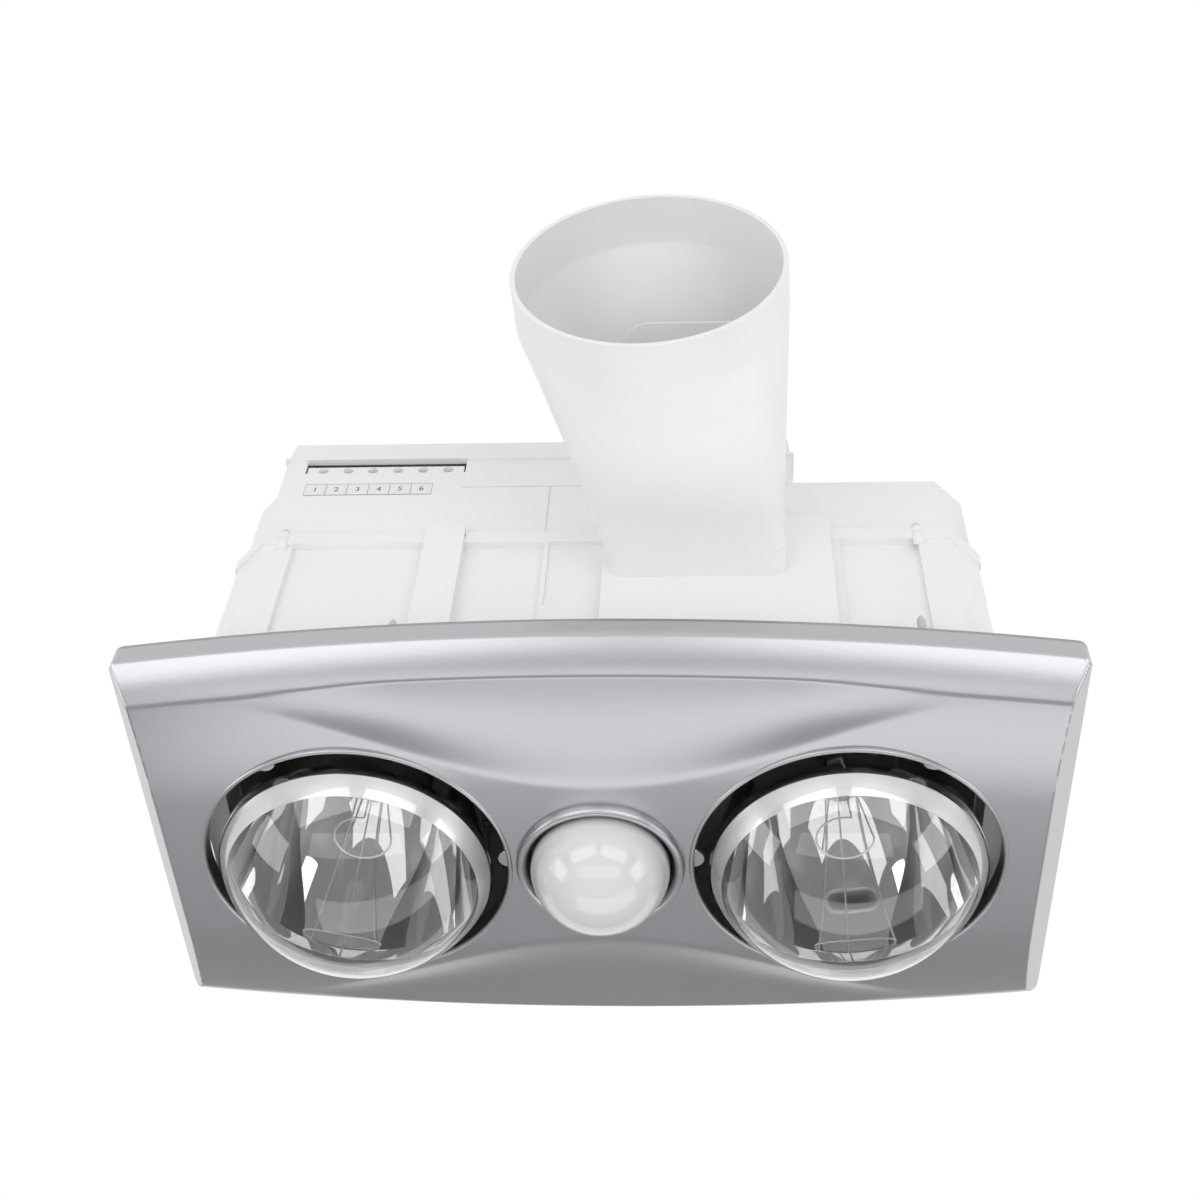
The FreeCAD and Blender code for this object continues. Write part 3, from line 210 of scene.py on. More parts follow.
class FixingSettings(bpy.types.PropertyGroup):
    """Sizes of the ceiling screws."""

    shank_r: length("Shank radius", "Outside the thread", 2 * MM)
    pitch: length("Pitch", "Of the thread", 1.8 * MM)
    thread: number("Thread", "Depth of the thread, as a share of the radius", 0.22)
    tip: length("Tip", "Stretch that narrows to the point", 4 * MM)
    blunt: number("Blunt", "Radius left at the point, as a share", 0.02)
    head_r: length("Head radius", "Of the heads", 4 * MM)
    head_flat: number("Head flat", "Share of the radius that is flat", 0.5)
    head_round: number("Head round", "Share of the radius where its curve bends", 0.85)
    head_curve: length("Head curve", "Height of that bend above the flat", 0.9 * MM)
    head_edge: length("Head edge", "Height of the head's upright edge", 0.1 * MM)
    seat: length("Seat", "Level of the side that the heads sit on", -2.5 * MM)


class FinishSettings(bpy.types.PropertyGroup):
    """Colours of the finishes."""

    silver: colour("Silver paint", "Fascia", (0.47, 0.476, 0.492))
    white: colour("White moulding", "Casings and duct", (0.88, 0.875, 0.865))
    glass: colour("Clear glass", "Heat lamps", (0.97, 0.975, 0.97))
    mirror: colour("Silvering", "Backs of the heat lamps", (0.75, 0.75, 0.745))
    satin: colour("Silvered edge", "Edge of that silvering", (0.82, 0.82, 0.81))
    grey: colour("Grey moulding", "Fan", (0.36, 0.37, 0.38))
    opal: colour("Opal glass", "Light", (0.71, 0.71, 0.705))
    steel: colour("Steel", "Screws and brackets", (0.56, 0.56, 0.55))
    sheet: colour("Sheet metal", "Shields and motor", (0.62, 0.6, 0.57))
    brass: colour("Brass", "Shells and bearings", (0.72, 0.55, 0.25))
    copper: colour("Copper", "Motor coils", (0.62, 0.28, 0.13))
    core: colour("Core steel", "Motor core", (0.22, 0.23, 0.25))
    ceramic: colour("Ceramic", "Lampholders", (0.82, 0.8, 0.76))
    cap: colour("Cap", "Lamp caps", (0.7, 0.69, 0.66))
    wire: colour("Wire", "Filaments", (0.82, 0.82, 0.81))
    paper: colour("Paper", "Strip that numbers the terminals", (0.86, 0.86, 0.84))
    ink: colour("Ink", "Numbers on that strip", (0.05, 0.05, 0.055))


class StageSettings(bpy.types.PropertyGroup):
    """Camera, floor and light."""

    camera_place: vector("Camera", "Place of the camera", "TRANSLATION", (0.0455, -0.569, -0.569))
    camera_aim: vector("Aim", "Way the camera looks", "DIRECTION", (-0.0577, 0.6117, 0.789))
    camera_right: vector("Right", "The picture's right", "DIRECTION", (0.9983, 0.0413, 0.0409))
    lens: number("Lens", "Focal length in mm", 52.05, "CAMERA")
    sensor: number("Sensor", "Width of the frame in mm", 36, "CAMERA")
    clip: length("Clip", "Nearest thing that the camera shows", 0.01)
    floor_level: length("Floor", "Level of the floor", -0.85)
    floor_size: length("Floor size", "Side of the floor", 8.0)
    floor_colour: colour("Floor colour", "Of the floor", (0.44, 0.44, 0.45))
    white_point: number("Backdrop", "Strength of the white backdrop", 1.0)
    ambient: number("Ambient", "Strength of the world's light", 0.73)
    low_power: number("Low box", "Light behind, near the floor", 3.0, "POWER")
    near_power: number("Near box", "Light below the front edge", 1.8, "POWER")
    front_power: number("Front boxes", "Each light in front", 3.9, "POWER")
    side_power: number("Side boxes", "Each light at the sides", 2.3, "POWER")


class Signal:
    """A shader socket in a Python expression; each operator adds one Math node."""

    def __init__(self, shader, socket):
        self.shader = shader
        self.socket = socket

    def math(self, operation, *others):
        """Result of a Math node with this signal first and the others after it."""
        made = self.shader.node("ShaderNodeMath", dict(enumerate((self,) + others)), {"operation": operation})
        return self.shader.signal(made)

    def __add__(self, other):
        return self.math("ADD", other)

    __radd__ = __add__

    def __mul__(self, other):
        return self.math("MULTIPLY", other)

    __rmul__ = __mul__

    def __sub__(self, other):
        return self.math("SUBTRACT", other)

    def __rsub__(self, other):
        return self * -1 + other


class Shader:
    """One material or world and the nodes in it."""

    def __init__(self, name, kind="materials"):
        self.owner = getattr(bpy.data, kind).new(name)
        self.owner.use_nodes = True
        self.tree = self.owner.node_tree
        self.tree.nodes.clear()

    def node(self, kind, inputs=None, settings=None):
        """Adds a node: settings are set first, then values or links go to its sockets."""
        made = self.tree.nodes.new(kind)
        for key, value in (settings or {}).items():
            setattr(made, key, value)
        for key, value in (inputs or {}).items():
            if isinstance(value, Signal):
                self.tree.links.new(value.socket, made.inputs[key])
            else:
                made.inputs[key].default_value = value
        return made

    def signal(self, made, output=0):
        """One output of a node, ready for sums."""
        return Signal(self, made.outputs[output])

    def place(self):
        """Place of a point in the object's own axes."""
        return self.signal(self.node("ShaderNodeTexCoord"), "Object")

    def noise(self, scale, detail=3.0, where=None):
        """Soft noise from 0 to 1."""
        inputs = {"Vector": where or self.place(), "Scale": scale, "Detail": detail}
        return self.signal(self.node("ShaderNodeTexNoise", inputs))

    def uneven(self, scale, low, high, detail=3.0, where=None):
        """Value that wanders between low and high on a soft noise."""
        return self.noise(scale, detail, where) * (high - low) + low

    def mix(self, share, first, second):
        """Colour between two colours, which go to sockets 6 and 7; the result is at 2."""
        made = self.node("ShaderNodeMix", {0: share, 6: first, 7: second}, {"data_type": "RGBA"})
        return self.signal(made, 2)

    def bump(self, height, distance):
        """Normal of a surface with a small relief, its depth in metres."""
        return self.signal(self.node("ShaderNodeBump", {"Height": height, "Distance": distance}))

    def principled(self, **inputs):
        """Ends the material in a Principled shader; names use _ for a space."""
        named = {key.replace("_", " "): value for key, value in inputs.items()}
        made = self.node("ShaderNodeBsdfPrincipled", named)
        self.node("ShaderNodeOutputMaterial", {"Surface": self.signal(made)})
        return self.owner


def shade(rgb, factor):
    """A colour made darker or lighter, with its alpha."""
    return tuple(min(1, c * factor) for c in rgb) + (1,)


def tinted(shader, rgb, scale, low, high):
    """Base colour that wanders between two shades of one colour on a soft noise."""
    return shader.mix(shader.noise(scale), shade(rgb, low), shade(rgb, high))


def silver_paint(rgb):
    """Metallic paint: fine flake in the colour and the gloss, and a faint orange peel."""
    s = Shader("silver_paint")
    flake = s.noise(2600.0, 2.0)
    return s.principled(Base_Color=s.mix(flake, shade(rgb, 0.96), shade(rgb, 1.04)), Metallic=0.9,
                        Roughness=flake * 0.04 + 0.29, Coat_Weight=0.15, Coat_Roughness=0.2,
                        Normal=s.bump(s.noise(300.0, 2.0), 0.02 * MM))


def white_moulding(rgb):
    """Smooth white plastic with a hardly visible grain."""
    s = Shader("white_moulding")
    return s.principled(Base_Color=tinted(s, rgb, 35.0, 0.985, 1.015),
                        Roughness=s.uneven(300.0, low=0.34, high=0.42),
                        Normal=s.bump(s.noise(900.0, 2.0), 0.03 * MM))


def grey_moulding(rgb):
    """Duller grey plastic with a visible grain."""
    s = Shader("grey_moulding")
    return s.principled(Base_Color=tinted(s, rgb, 60.0, 0.95, 1.05),
                        Roughness=s.uneven(220.0, low=0.45, high=0.55),
                        Normal=s.bump(s.noise(700.0, 2.0), 0.05 * MM))


def clear_glass(rgb):
    """Blown glass: clear, with a trace of smear in its gloss."""
    s = Shader("clear_glass")
    return s.principled(Base_Color=tinted(s, rgb, 20.0, 0.99, 1.01), IOR=1.5, Transmission_Weight=1.0,
                        Roughness=s.uneven(60.0, low=0, high=0.012))


def mirror_silver(rgb):
    """Silvering behind the glass."""
    s = Shader("mirror_silver")
    return s.principled(Base_Color=tinted(s, rgb, 25.0, 0.97, 1.0), Metallic=1.0,
                        Roughness=s.uneven(90.0, low=0, high=0.02),
                        Normal=s.bump(s.noise(30.0, 1.0), 0.02 * MM))


def satin_silver(rgb):
    """Edge of the silvering, seen through the dome: pale and soft."""
    s = Shader("satin_silver")
    return s.principled(Base_Color=tinted(s, rgb, 40.0, 0.97, 1.0), Metallic=0.7,
                        Roughness=s.uneven(120.0, low=0.3, high=0.36))


def opal_glass(rgb):
    """White glass with a clear gloss on top."""
    s = Shader("opal_glass")
    return s.principled(Base_Color=tinted(s, rgb, 40.0, 0.985, 1.01), Coat_Weight=0.7, Coat_Roughness=0.06,
                        Roughness=s.uneven(80.0, low=0.16, high=0.2))


def bare_metal(name, rgb, rough, scale):
    """Plain metal with soft stains and a fine drawn grain; rough is the middle of its roughness."""
    s = Shader(name)
    drawn = s.signal(s.node("ShaderNodeMapping", {"Vector": s.place(), "Scale": (1.0, 1.0, 12.0)}))
    return s.principled(Base_Color=tinted(s, rgb, scale / 3, 0.9, 1.06), Metallic=1.0,
                        Roughness=s.uneven(scale, rough - 0.09, rough + 0.09, detail=4.0, where=drawn),
                        Normal=s.bump(s.noise(scale * 3, 3.0, drawn), 0.03 * MM))


def wound_copper(rgb):
    """Turns of enamelled wire: rings round the coil."""
    s = Shader("wound_copper")
    wave = s.node("ShaderNodeTexWave", {"Vector": s.place(), "Scale": 260.0, "Distortion": 1.5},
                  {"wave_type": "RINGS", "rings_direction": "Z"})
    turns = s.signal(wave, 1)
    return s.principled(Base_Color=s.mix(turns, shade(rgb, 0.55), shade(rgb, 1.1)), Metallic=0.8,
                        Roughness=0.35, Normal=s.bump(turns, 0.3 * MM))


def stacked_core(rgb):
    """Laminations: thin level stripes."""
    s = Shader("stacked_core")
    wave = s.node("ShaderNodeTexWave", {"Vector": s.place(), "Scale": 480.0}, {"bands_direction": "Z"})
    lines = s.signal(wave, 1)
    return s.principled(Base_Color=s.mix(lines, shade(rgb, 0.6), shade(rgb, 1.2)), Metallic=0.9,
                        Roughness=0.45, Normal=s.bump(lines, 0.1 * MM))


def fired_ceramic(rgb):
    """Half glazed ceramic with a slightly wavy skin."""
    s = Shader("fired_ceramic")
    return s.principled(Base_Color=tinted(s, rgb, 90.0, 0.94, 1.04),
                        Roughness=s.uneven(150.0, low=0.3, high=0.4),
                        Normal=s.bump(s.noise(350.0), 0.06 * MM))


def label_paper(paper, ink, p):
    """Paper with thin greyish lines round its cells, worked out from the place along X and Z."""
    s = Shader("label_paper")
    axes = s.node("ShaderNodeSeparateXYZ", {"Vector": s.place()})
    pitch = (p.right - p.left) / p.cells
    along = ((s.signal(axes, 0) - p.left) * (1 / pitch)).math("FRACT") - 0.5
    upright = s.signal(axes, 2) - (p.low + p.high) / 2
    ends = along.math("ABSOLUTE").math("GREATER_THAN", 0.5 - p.line / pitch / 2)
    edges = upright.math("ABSOLUTE").math("GREATER_THAN", (p.high - p.low) / 2 - p.line)
    cover = ends.math("MAXIMUM", edges) * 0.75 + s.noise(600.0) * 0.04
    return s.principled(Base_Color=s.mix(cover, shade(paper, 1), shade(ink, 2)), Roughness=0.55)


def print_ink(rgb):
    """Printed black with a slightly uneven cover."""
    s = Shader("print_ink")
    return s.principled(Base_Color=tinted(s, rgb, 900.0, 0.7, 1.4), Roughness=0.6)


def floor_paint(rgb):
    """Matt floor, far below the heater."""
    s = Shader("pale_floor")
    return s.principled(Base_Color=tinted(s, rgb, 3.0, 0.98, 1.0), Roughness=0.6)


def finishes(scene):
    """Every finish, by the name of its slot or of its own."""
    c = scene.heater_finish
    return {
        "silver_paint": silver_paint(c.silver),
        "white_plastic": white_moulding(c.white),
        "grey_plastic": grey_moulding(c.grey),
        "clear_glass": clear_glass(c.glass),
        "mirror": mirror_silver(c.mirror),
        "satin": satin_silver(c.satin),
        "opal_glass": opal_glass(c.opal),
        "steel": bare_metal("zinc_steel", c.steel, rough=0.34, scale=240.0),
        "shield_metal": bare_metal("sheet_metal", c.sheet, rough=0.3, scale=160.0),
        "brass": bare_metal("plain_brass", c.brass, rough=0.3, scale=200.0),
        "copper": wound_copper(c.copper),
        "core_steel": stacked_core(c.core),
        "white_ceramic": fired_ceramic(c.ceramic),
        "cap_metal": bare_metal("pressed_cap", c.cap, rough=0.25, scale=180.0),
        "filament_wire": bare_metal("drawn_wire", c.wire, rough=0.4, scale=300.0),
        "label": label_paper(c.paper, c.ink, scene.heater_label),
        "ink": print_ink(c.ink),
    }


FINISHES = {}


def finish(name):
    """One finish; all of them are made at the first call and then reused."""
    if not FINISHES:
        FINISHES.update(finishes(bpy.context.scene))
    return FINISHES[name]


def grid_quads(rows, cols, wrap=False):
    """Quads of a grid of points, its last column joined to the first if wrap is set."""
    i, j = np.meshgrid(np.arange(rows - 1), np.arange(cols if wrap else cols - 1), indexing="ij")
    k = (j + 1) % cols
    return np.stack([i * cols + j, i * cols + k, (i + 1) * cols + k, (i + 1) * cols + j], -1).reshape(-1, 4)


def closed_rows(points):
    """Rows of points with the quads between them, each row joined end to end."""
    return points, grid_quads(*points.shape[:2], wrap=True)


def add_piece(name, points, quads, body, slot, replaced=(), outward=True, look=None):
    """Puts points and quads into one smooth mesh object that rides on a body.

    The look is the finish it shows, if that isn't its slot's.
    """
    mesh = bpy.data.meshes.new(name)
    mesh.from_pydata(points.reshape(-1, 3).tolist(), [], quads.tolist())
    work = bmesh.new()
    work.from_mesh(mesh)
    bmesh.ops.remove_doubles(work, verts=work.verts, dist=MERGE)
    bmesh.ops.dissolve_degenerate(work, edges=work.edges, dist=SLIVER)
    if outward:
        bmesh.ops.recalc_face_normals(work, faces=work.faces)
    work.to_mesh(mesh)
    work.free()
    mesh.polygons.foreach_set("use_smooth", np.ones(len(mesh.polygons), bool))
    mesh.set_sharp_from_angle(angle=SHARP)
    mesh.materials.append(finish(look or slot))
    piece = bpy.data.objects.new(name, mesh)
    bpy.context.scene.collection.objects.link(piece)
    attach(piece, body)
    if replaced:
        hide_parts(*replaced)
    return piece


def turned_grid(profile, x, y, count=128):
    """A profile of (r, z) carried round the upright line at x, y: (x + r cos t, y + r sin t, z)."""
    t = np.linspace(0, 2 * np.pi, count, endpoint=False)
    r, z = np.asarray(profile).T
    level = np.repeat(z[:, None], count, 1)
    return closed_rows(np.stack([x + np.outer(r, np.cos(t)), y + np.outer(r, np.sin(t)), level], -1))


def joined(parts):
    """Several (points, quads) sets as one."""
    points, quads, start = [], [], 0
    for p, q in parts:
        p = p.reshape(-1, 3)
        points.append(p)
        quads.append(q + start)
        start += len(p)
    return np.concatenate(points), np.concatenate(quads)


def ease(t):
    """Smooth step from 0 to 1: 3 t^2 - 2 t^3."""
    t = np.clip(t, 0, 1)
    return t * t * (3 - 2 * t)


def fascia_edge(f, x):
    """Half depth at x: an arc through corners and bowed middle, rounded off at the corners."""
    sag = (f.mid_depth - f.corner_depth) / 2
    half = f.width / 2
    radius = (sag ** 2 + half ** 2) / (2 * sag)
    past = np.clip(np.abs(x) - half + f.corner_r, 0, f.corner_r)
    arc = np.sqrt(radius ** 2 - x ** 2) - radius + f.mid_depth / 2
    return arc - f.corner_r + np.sqrt(f.corner_r ** 2 - past ** 2)


def fascia_height(f, x, y):
    """Face of the fascia: at each place the highest of arch, rolled band and slanted end.

    The arch is z = rise (s / run)^2 - drop, with s the way past its start. Beyond the swoosh it is lifted
    into the lens by 1 - (1 - b)^2, with b the way from the swoosh to the band, its start rounded.
    """
    half = f.width / 2
    bow = fascia_edge(f, np.minimum(np.abs(x), half - f.corner_r))
    band = bow - f.roll_width
    a = np.abs(y)
    arch = f.slope_rise * (np.maximum(0, a - band + f.slope_run) / f.slope_run) ** 2 - f.drop
    bend = (1 - np.cos(np.pi * np.minimum(1, np.abs(x) / f.swoosh_half))) / 2
    crest = f.swoosh_mid + (f.swoosh_end - f.swoosh_mid) * bend
    room = band - crest
    along = np.clip((a - crest) / np.maximum(room, f.ramp_least), 0, 1)
    bent = (np.hypot(along, f.soft_hinge) - f.soft_hinge) / (np.hypot(1, f.soft_hinge) - f.soft_hinge)
    lens = (1 - (1 - bent) ** 2) * ease(room / f.lens_fade)
    face = arch + (f.lens_rise - f.drop - arch) * lens
    reach = f.roll_width * ROLL_OVERLAP
    d = np.clip(bow - a, 0, reach)
    roll = -f.skirt - f.roll_start * d + (f.roll_start - f.roll_end) / (2 * f.roll_width) * d * d
    slant = -f.skirt - (half - np.abs(x)) * (f.drop - f.skirt) / f.bevel_run
    roll = np.where(bow - a < reach, roll, FAR_BELOW)
    return np.maximum(np.maximum(face, roll), slant)


def fascia_holes(f, lamp_x):
    """Place along X and radius of the three holes in the sheet."""
    return (-lamp_x, f.hole_r), (0.0, f.light_hole_r + f.collar_width / 2), (lamp_x, f.hole_r)


def fascia_grid(f, lamp_x, corner_rows=12, bevel_rows=18, band_rows=14):
    """Grid of the face: stations along X and rows across Y, both bunched at the edges.

    Points near the edge of a hole are drawn onto it.
    """
    half = f.width / 2
    ends = f.corner_r * (1 - np.cos(np.linspace(0, np.pi / 2, corner_rows)))
    bevel = np.linspace(f.corner_r, f.bevel_run * BEVEL_REACH, bevel_rows)[1:]
    count = int((f.width - 2 * bevel[-1]) / f.step)
    inner = np.linspace(-half + bevel[-1], half - bevel[-1], count)[1:-1]
    side = np.concatenate([ends, bevel])
    x = np.concatenate([side - half, inner, (half - side)[::-1]])
    rows = int((f.mid_depth - 2 * f.roll_width) / f.step)
    face = np.linspace(-1, 1, rows)
    share = np.linspace(0, 1, band_rows)[1:]
    edge = fascia_edge(f, x)
    band = np.maximum(edge - f.roll_width, edge * BAND_LEAST)
    y = np.concatenate([-(band + (edge - band) * share[::-1, None]), face[:, None] * band,
                        band + (edge - band) * share[:, None]])
    x = np.repeat(x[None], len(y), 0)
    for hole_x, r in fascia_holes(f, lamp_x):
        away = np.hypot(x - hole_x, y)
        near = np.abs(away - r) < SNAP * f.step
        pull = np.where(near, r / np.maximum(away, MM), 1)
        x = hole_x + (x - hole_x) * pull
        y = y * pull
    return np.stack([x, y, fascia_height(f, x, y)], -1)


def fascia_sheet(f, lamp_x, levels=5):
    """The face's grid without the quads inside the three holes, and the upright skirt round it."""
    points = fascia_grid(f, lamp_x)
    rows, cols = points.shape[:2]
    quads = grid_quads(rows, cols)
    flat = points.reshape(-1, 3)
    keep = np.ones(len(quads), bool)
    for hole_x, r in fascia_holes(f, lamp_x):
        inside = np.hypot(flat[:, 0] - hole_x, flat[:, 1]) < r - HOLE_SLACK
        keep &= ~inside[quads].any(1)
    rim = np.concatenate([points[0], points[1:, -1], points[-1, -2::-1], points[-2:0:-1, 0]])
    skirt = np.repeat(rim[None], levels, 0)
    skirt[..., 2] = rim[:, 2] * np.linspace(1, 0, levels)[:, None]
    return joined([(flat, quads[keep]), closed_rows(skirt)])


def rim_profile(r, wall, low, high, count=9):
    """Section of a tube with a rolled lower lip."""
    t = np.linspace(np.pi, 2 * np.pi, count)
    lip = np.stack([r + wall / 2 + wall / 2 * np.cos(t), low + wall / 2 * np.sin(t)], -1)
    return np.concatenate([[[r, high]], lip, [[r + wall, high], [r, high]]])


def collar_profile(f, count=17):
    """Section of the ring round the light: a half round on a short tube."""
    t = np.linspace(np.pi, 2 * np.pi, count)
    mid = f.light_hole_r + f.collar_width / 2
    low = -f.drop
    ring = np.stack([mid + f.collar_width / 2 * np.cos(t), low + f.collar_drop * np.sin(t)], -1)
    top = low + f.collar_tube
    back = low + f.wall
    inner = f.light_hole_r
    return np.concatenate([[[inner, top]], ring, [[inner + f.collar_width, back], [inner + f.rim_wall, back],
                                                  [inner + f.rim_wall, top], [inner, top]]])


def tongue_grid(f, hole_x, turn, count=15):
    """One tab, turned about its hole's middle: a half-round tip on a straight strip.

    Its five rings are a point, a slightly smaller outline, two whole ones and a point.
    """
    t = np.linspace(-np.pi / 2, np.pi / 2, count)
    half = f.tongue_width / 2
    tip = f.hole_r - f.tongue_reach + half
    plan = np.stack([tip - half * np.cos(t), half * np.sin(t)], -1)
    root = np.array([[f.hole_r + f.rim_wall / 2, half], [f.hole_r + f.rim_wall / 2, -half]])
    plan = np.concatenate([plan, root])
    low = f.tongue_level - f.drop
    high = low + f.tongue_thick
    level = np.array([low, low, low + f.tongue_edge, high, high])
    scale = np.array([0, 1 - f.tongue_edge / half, 1, 1, 0])
    centre = np.array([tip, 0.0])
    a, b = np.moveaxis(centre + (plan - centre) * scale[:, None, None], -1, 0)
    c, s = np.cos(turn), np.sin(turn)
    z = np.repeat(level[:, None], len(plan), 1)
    return closed_rows(np.stack([hole_x + a * c - b * s, a * s + b * c, z], -1))


def post_grids(f):
    """Round posts behind the fascia that push into the clips."""
    _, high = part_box("fascia")
    r = f.post_r
    made = []
    for x in (-f.post_x, f.post_x):
        for y in (-f.post_y, f.post_y):
            foot = float(fascia_height(f, x, y)) + f.wall * f.post_foot
            section = [(0, high.z), (r * f.post_tip, high.z), (r, high.z - r), (r, foot), (0, foot)]
            made.append(turned_grid(section, x, y, count=32))
    return made


class HEATER_OT_fascia(bpy.types.Operator):
    """Makes the silver fascia with its rims, collar and tongues"""

    bl_idname = "heater.fascia"
    bl_label = "Fascia"

    def execute(self, context):
        f = context.scene.heater_fascia
        lamp_x = context.scene.heater_lamp.spacing / 2
        sheet = add_piece("fascia_sheet", *fascia_sheet(f, lamp_x), "fascia_panel", "silver_paint",
                          ("fascia",))
        wall = sheet.modifiers.new("wall", "SOLIDIFY")
        wall.thickness = f.wall
        wall.offset = -1
        section = rim_profile(f.hole_r, f.rim_wall, f.rim_start - f.drop, f.rim_height - f.drop)
        rims = [turned_grid(section, x, 0) for x in (-lamp_x, lamp_x)]
        collar = [turned_grid(collar_profile(f), 0, 0)]
        turns = np.radians([0, 120, 240])
        tongues = [tongue_grid(f, -lamp_x, t) for t in turns]
        tongues += [tongue_grid(f, lamp_x, t + np.pi) for t in turns]
        for name, grids in (("lamp_rims", rims), ("light_collar", collar), ("hole_tongues", tongues),
                            ("fascia_posts", post_grids(f))):
            add_piece(name, *joined(grids), "fascia_panel", "silver_paint")
        return {"FINISHED"}


def dome_arc(r, depth, widest, inset, count=40):
    """Front of a bulb: a cap of a sphere from the tip up to the widest place."""
    ball = (r * r + depth * depth) / (2 * depth)
    t = np.linspace(0, np.arcsin(min(1, r / ball)), count)
    return np.stack([(ball - inset) * np.sin(t), widest - depth + ball - (ball - inset) * np.cos(t)], -1)


def bowl_curve(r, neck_r, low, high, count=48):
    """Back of a bulb from the widest place into the neck: the cube of its radius falls evenly with height."""
    t = np.linspace(0, 1, count)
    return np.stack([np.cbrt(r ** 3 + (neck_r ** 3 - r ** 3) * t), low + (high - low) * t], -1)


def bulb_outline(r, depth, shoulder, neck_r, seat_r, neck_length, low, high, inset):
    """Half outline of a bulb from its tip: dome, shoulder, bowl, then the neck that the cap grips."""
    widest = low + depth
    neck = high - neck_length - shoulder
    return np.concatenate([dome_arc(r, depth, widest, inset),
                           bowl_curve(r - inset, neck_r - inset, widest + shoulder, neck),
                           [[seat_r - inset, high - shoulder], [seat_r - inset, high]]])


def closed_shell(outer, inner):
    """Section or rings of a thin wall: out along one line and back along the other."""
    return np.concatenate([outer, inner[::-1], outer[:1]])


def silver_line(p, gap, widest, neck):
    """Silvering inside a heat lamp's outline, from just above the widest place into the neck."""
    bowl = bowl_curve(p.heat_r - gap, p.heat_neck_r - gap, widest + p.heat_shoulder, neck)
    return np.concatenate([[[p.heat_r - gap, widest + p.silver_start]], bowl])


class HEATER_OT_heat_lamps(bpy.types.Operator):
    """Makes the clear domes and the silvered backs of the heat lamps"""

    bl_idname = "heater.heat_lamps"
    bl_label = "Heat lamps"

    def execute(self, context):
        p = context.scene.heater_lamp
        gaps = (p.glass + p.silver_gap, p.glass + 2 * p.silver_gap)
        for side, sign in (("left", -1), ("right", 1)):
            node = "heat_lamp_glass_" + side
            low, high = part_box(node)
            x = sign * p.spacing / 2
            widest = low.z + p.heat_depth
            neck = high.z - p.heat_neck - p.heat_shoulder
            sizes = (p.heat_r, p.heat_depth, p.heat_shoulder, p.heat_neck_r, p.seat_r, p.heat_neck,
                     low.z, high.z)
            glass = [bulb_outline(*sizes, inset) for inset in (0, p.glass)]
            mirror = [silver_line(p, gap, widest, neck) for gap in gaps]
            band = [dome_arc(p.heat_r, p.heat_depth, widest, gap)[-p.band_rows:] for gap in gaps]
            glass, mirror, band = (turned_grid(closed_shell(*walls), x, 0, FINE_ROUND)
                                   for walls in (glass, mirror, band))
            add_piece("heat_dome_" + side, *glass, "housing", "clear_glass", (node,))
            add_piece("heat_mirror_" + side, *mirror, "housing", "clear_glass", look="mirror")
            add_piece("heat_band_" + side, *band, "housing", "clear_glass", look="satin")
        return {"FINISHED"}


class HEATER_OT_light(bpy.types.Operator):
    """Makes the opal bulb of the light"""

    bl_idname = "heater.light"
    bl_label = "Light"

    def execute(self, context):
        p = context.scene.heater_lamp
        low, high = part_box("light_bulb_glass")
        sizes = (p.light_r, p.light_depth, p.light_shoulder, p.light_neck_r, p.seat_r, p.light_neck,
                 low.z, high.z)
        section = closed_shell(*(bulb_outline(*sizes, inset) for inset in (0, p.glass)))
        add_piece("light_dome", *turned_grid(section, 0, 0), "housing", "opal_glass", ("light_bulb_glass",))
        return {"FINISHED"}


def softened(node, body, slot, width, least_turn):
    """Copy of a solid with merged corners and slightly rounded edges, in place of the node."""
    source = frame["nodes"][node]
    mesh = source.data.copy()
    mesh.name = node + "_soft"
    mesh.materials.clear()
    mesh.materials.append(finish(slot))
    work = bmesh.new()
    work.from_mesh(mesh)
    bmesh.ops.remove_doubles(work, verts=work.verts, dist=MERGE)
    bmesh.ops.dissolve_limit(work, angle_limit=FLAT, verts=work.verts, edges=work.edges)
    work.to_mesh(mesh)
    work.free()
    piece = bpy.data.objects.new(node + "_soft", mesh)
    bpy.context.scene.collection.objects.link(piece)
    bevel = piece.modifiers.new("edges", "BEVEL")
    bevel.width = width
    bevel.segments = 2
    bevel.limit_method = "ANGLE"
    bevel.angle_limit = least_turn
    bevel.harden_normals = True
    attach(piece, body)
    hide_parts(node)
    return piece


class HEATER_OT_casings(bpy.types.Operator):
    """Rounds the edges of the white mouldings"""

    bl_idname = "heater.casings"
    bl_label = "Casings"

    def execute(self, context):
        p = context.scene.heater_casing
        for node in ("lower_casing", "upper_casing", "outlet_frame", "wiring_cover", "terminal_block"):
            body = "cover" if node == "wiring_cover" else "housing"
            softened(node, body, "white_plastic", p.edge, p.least_turn)
        return {"FINISHED"}


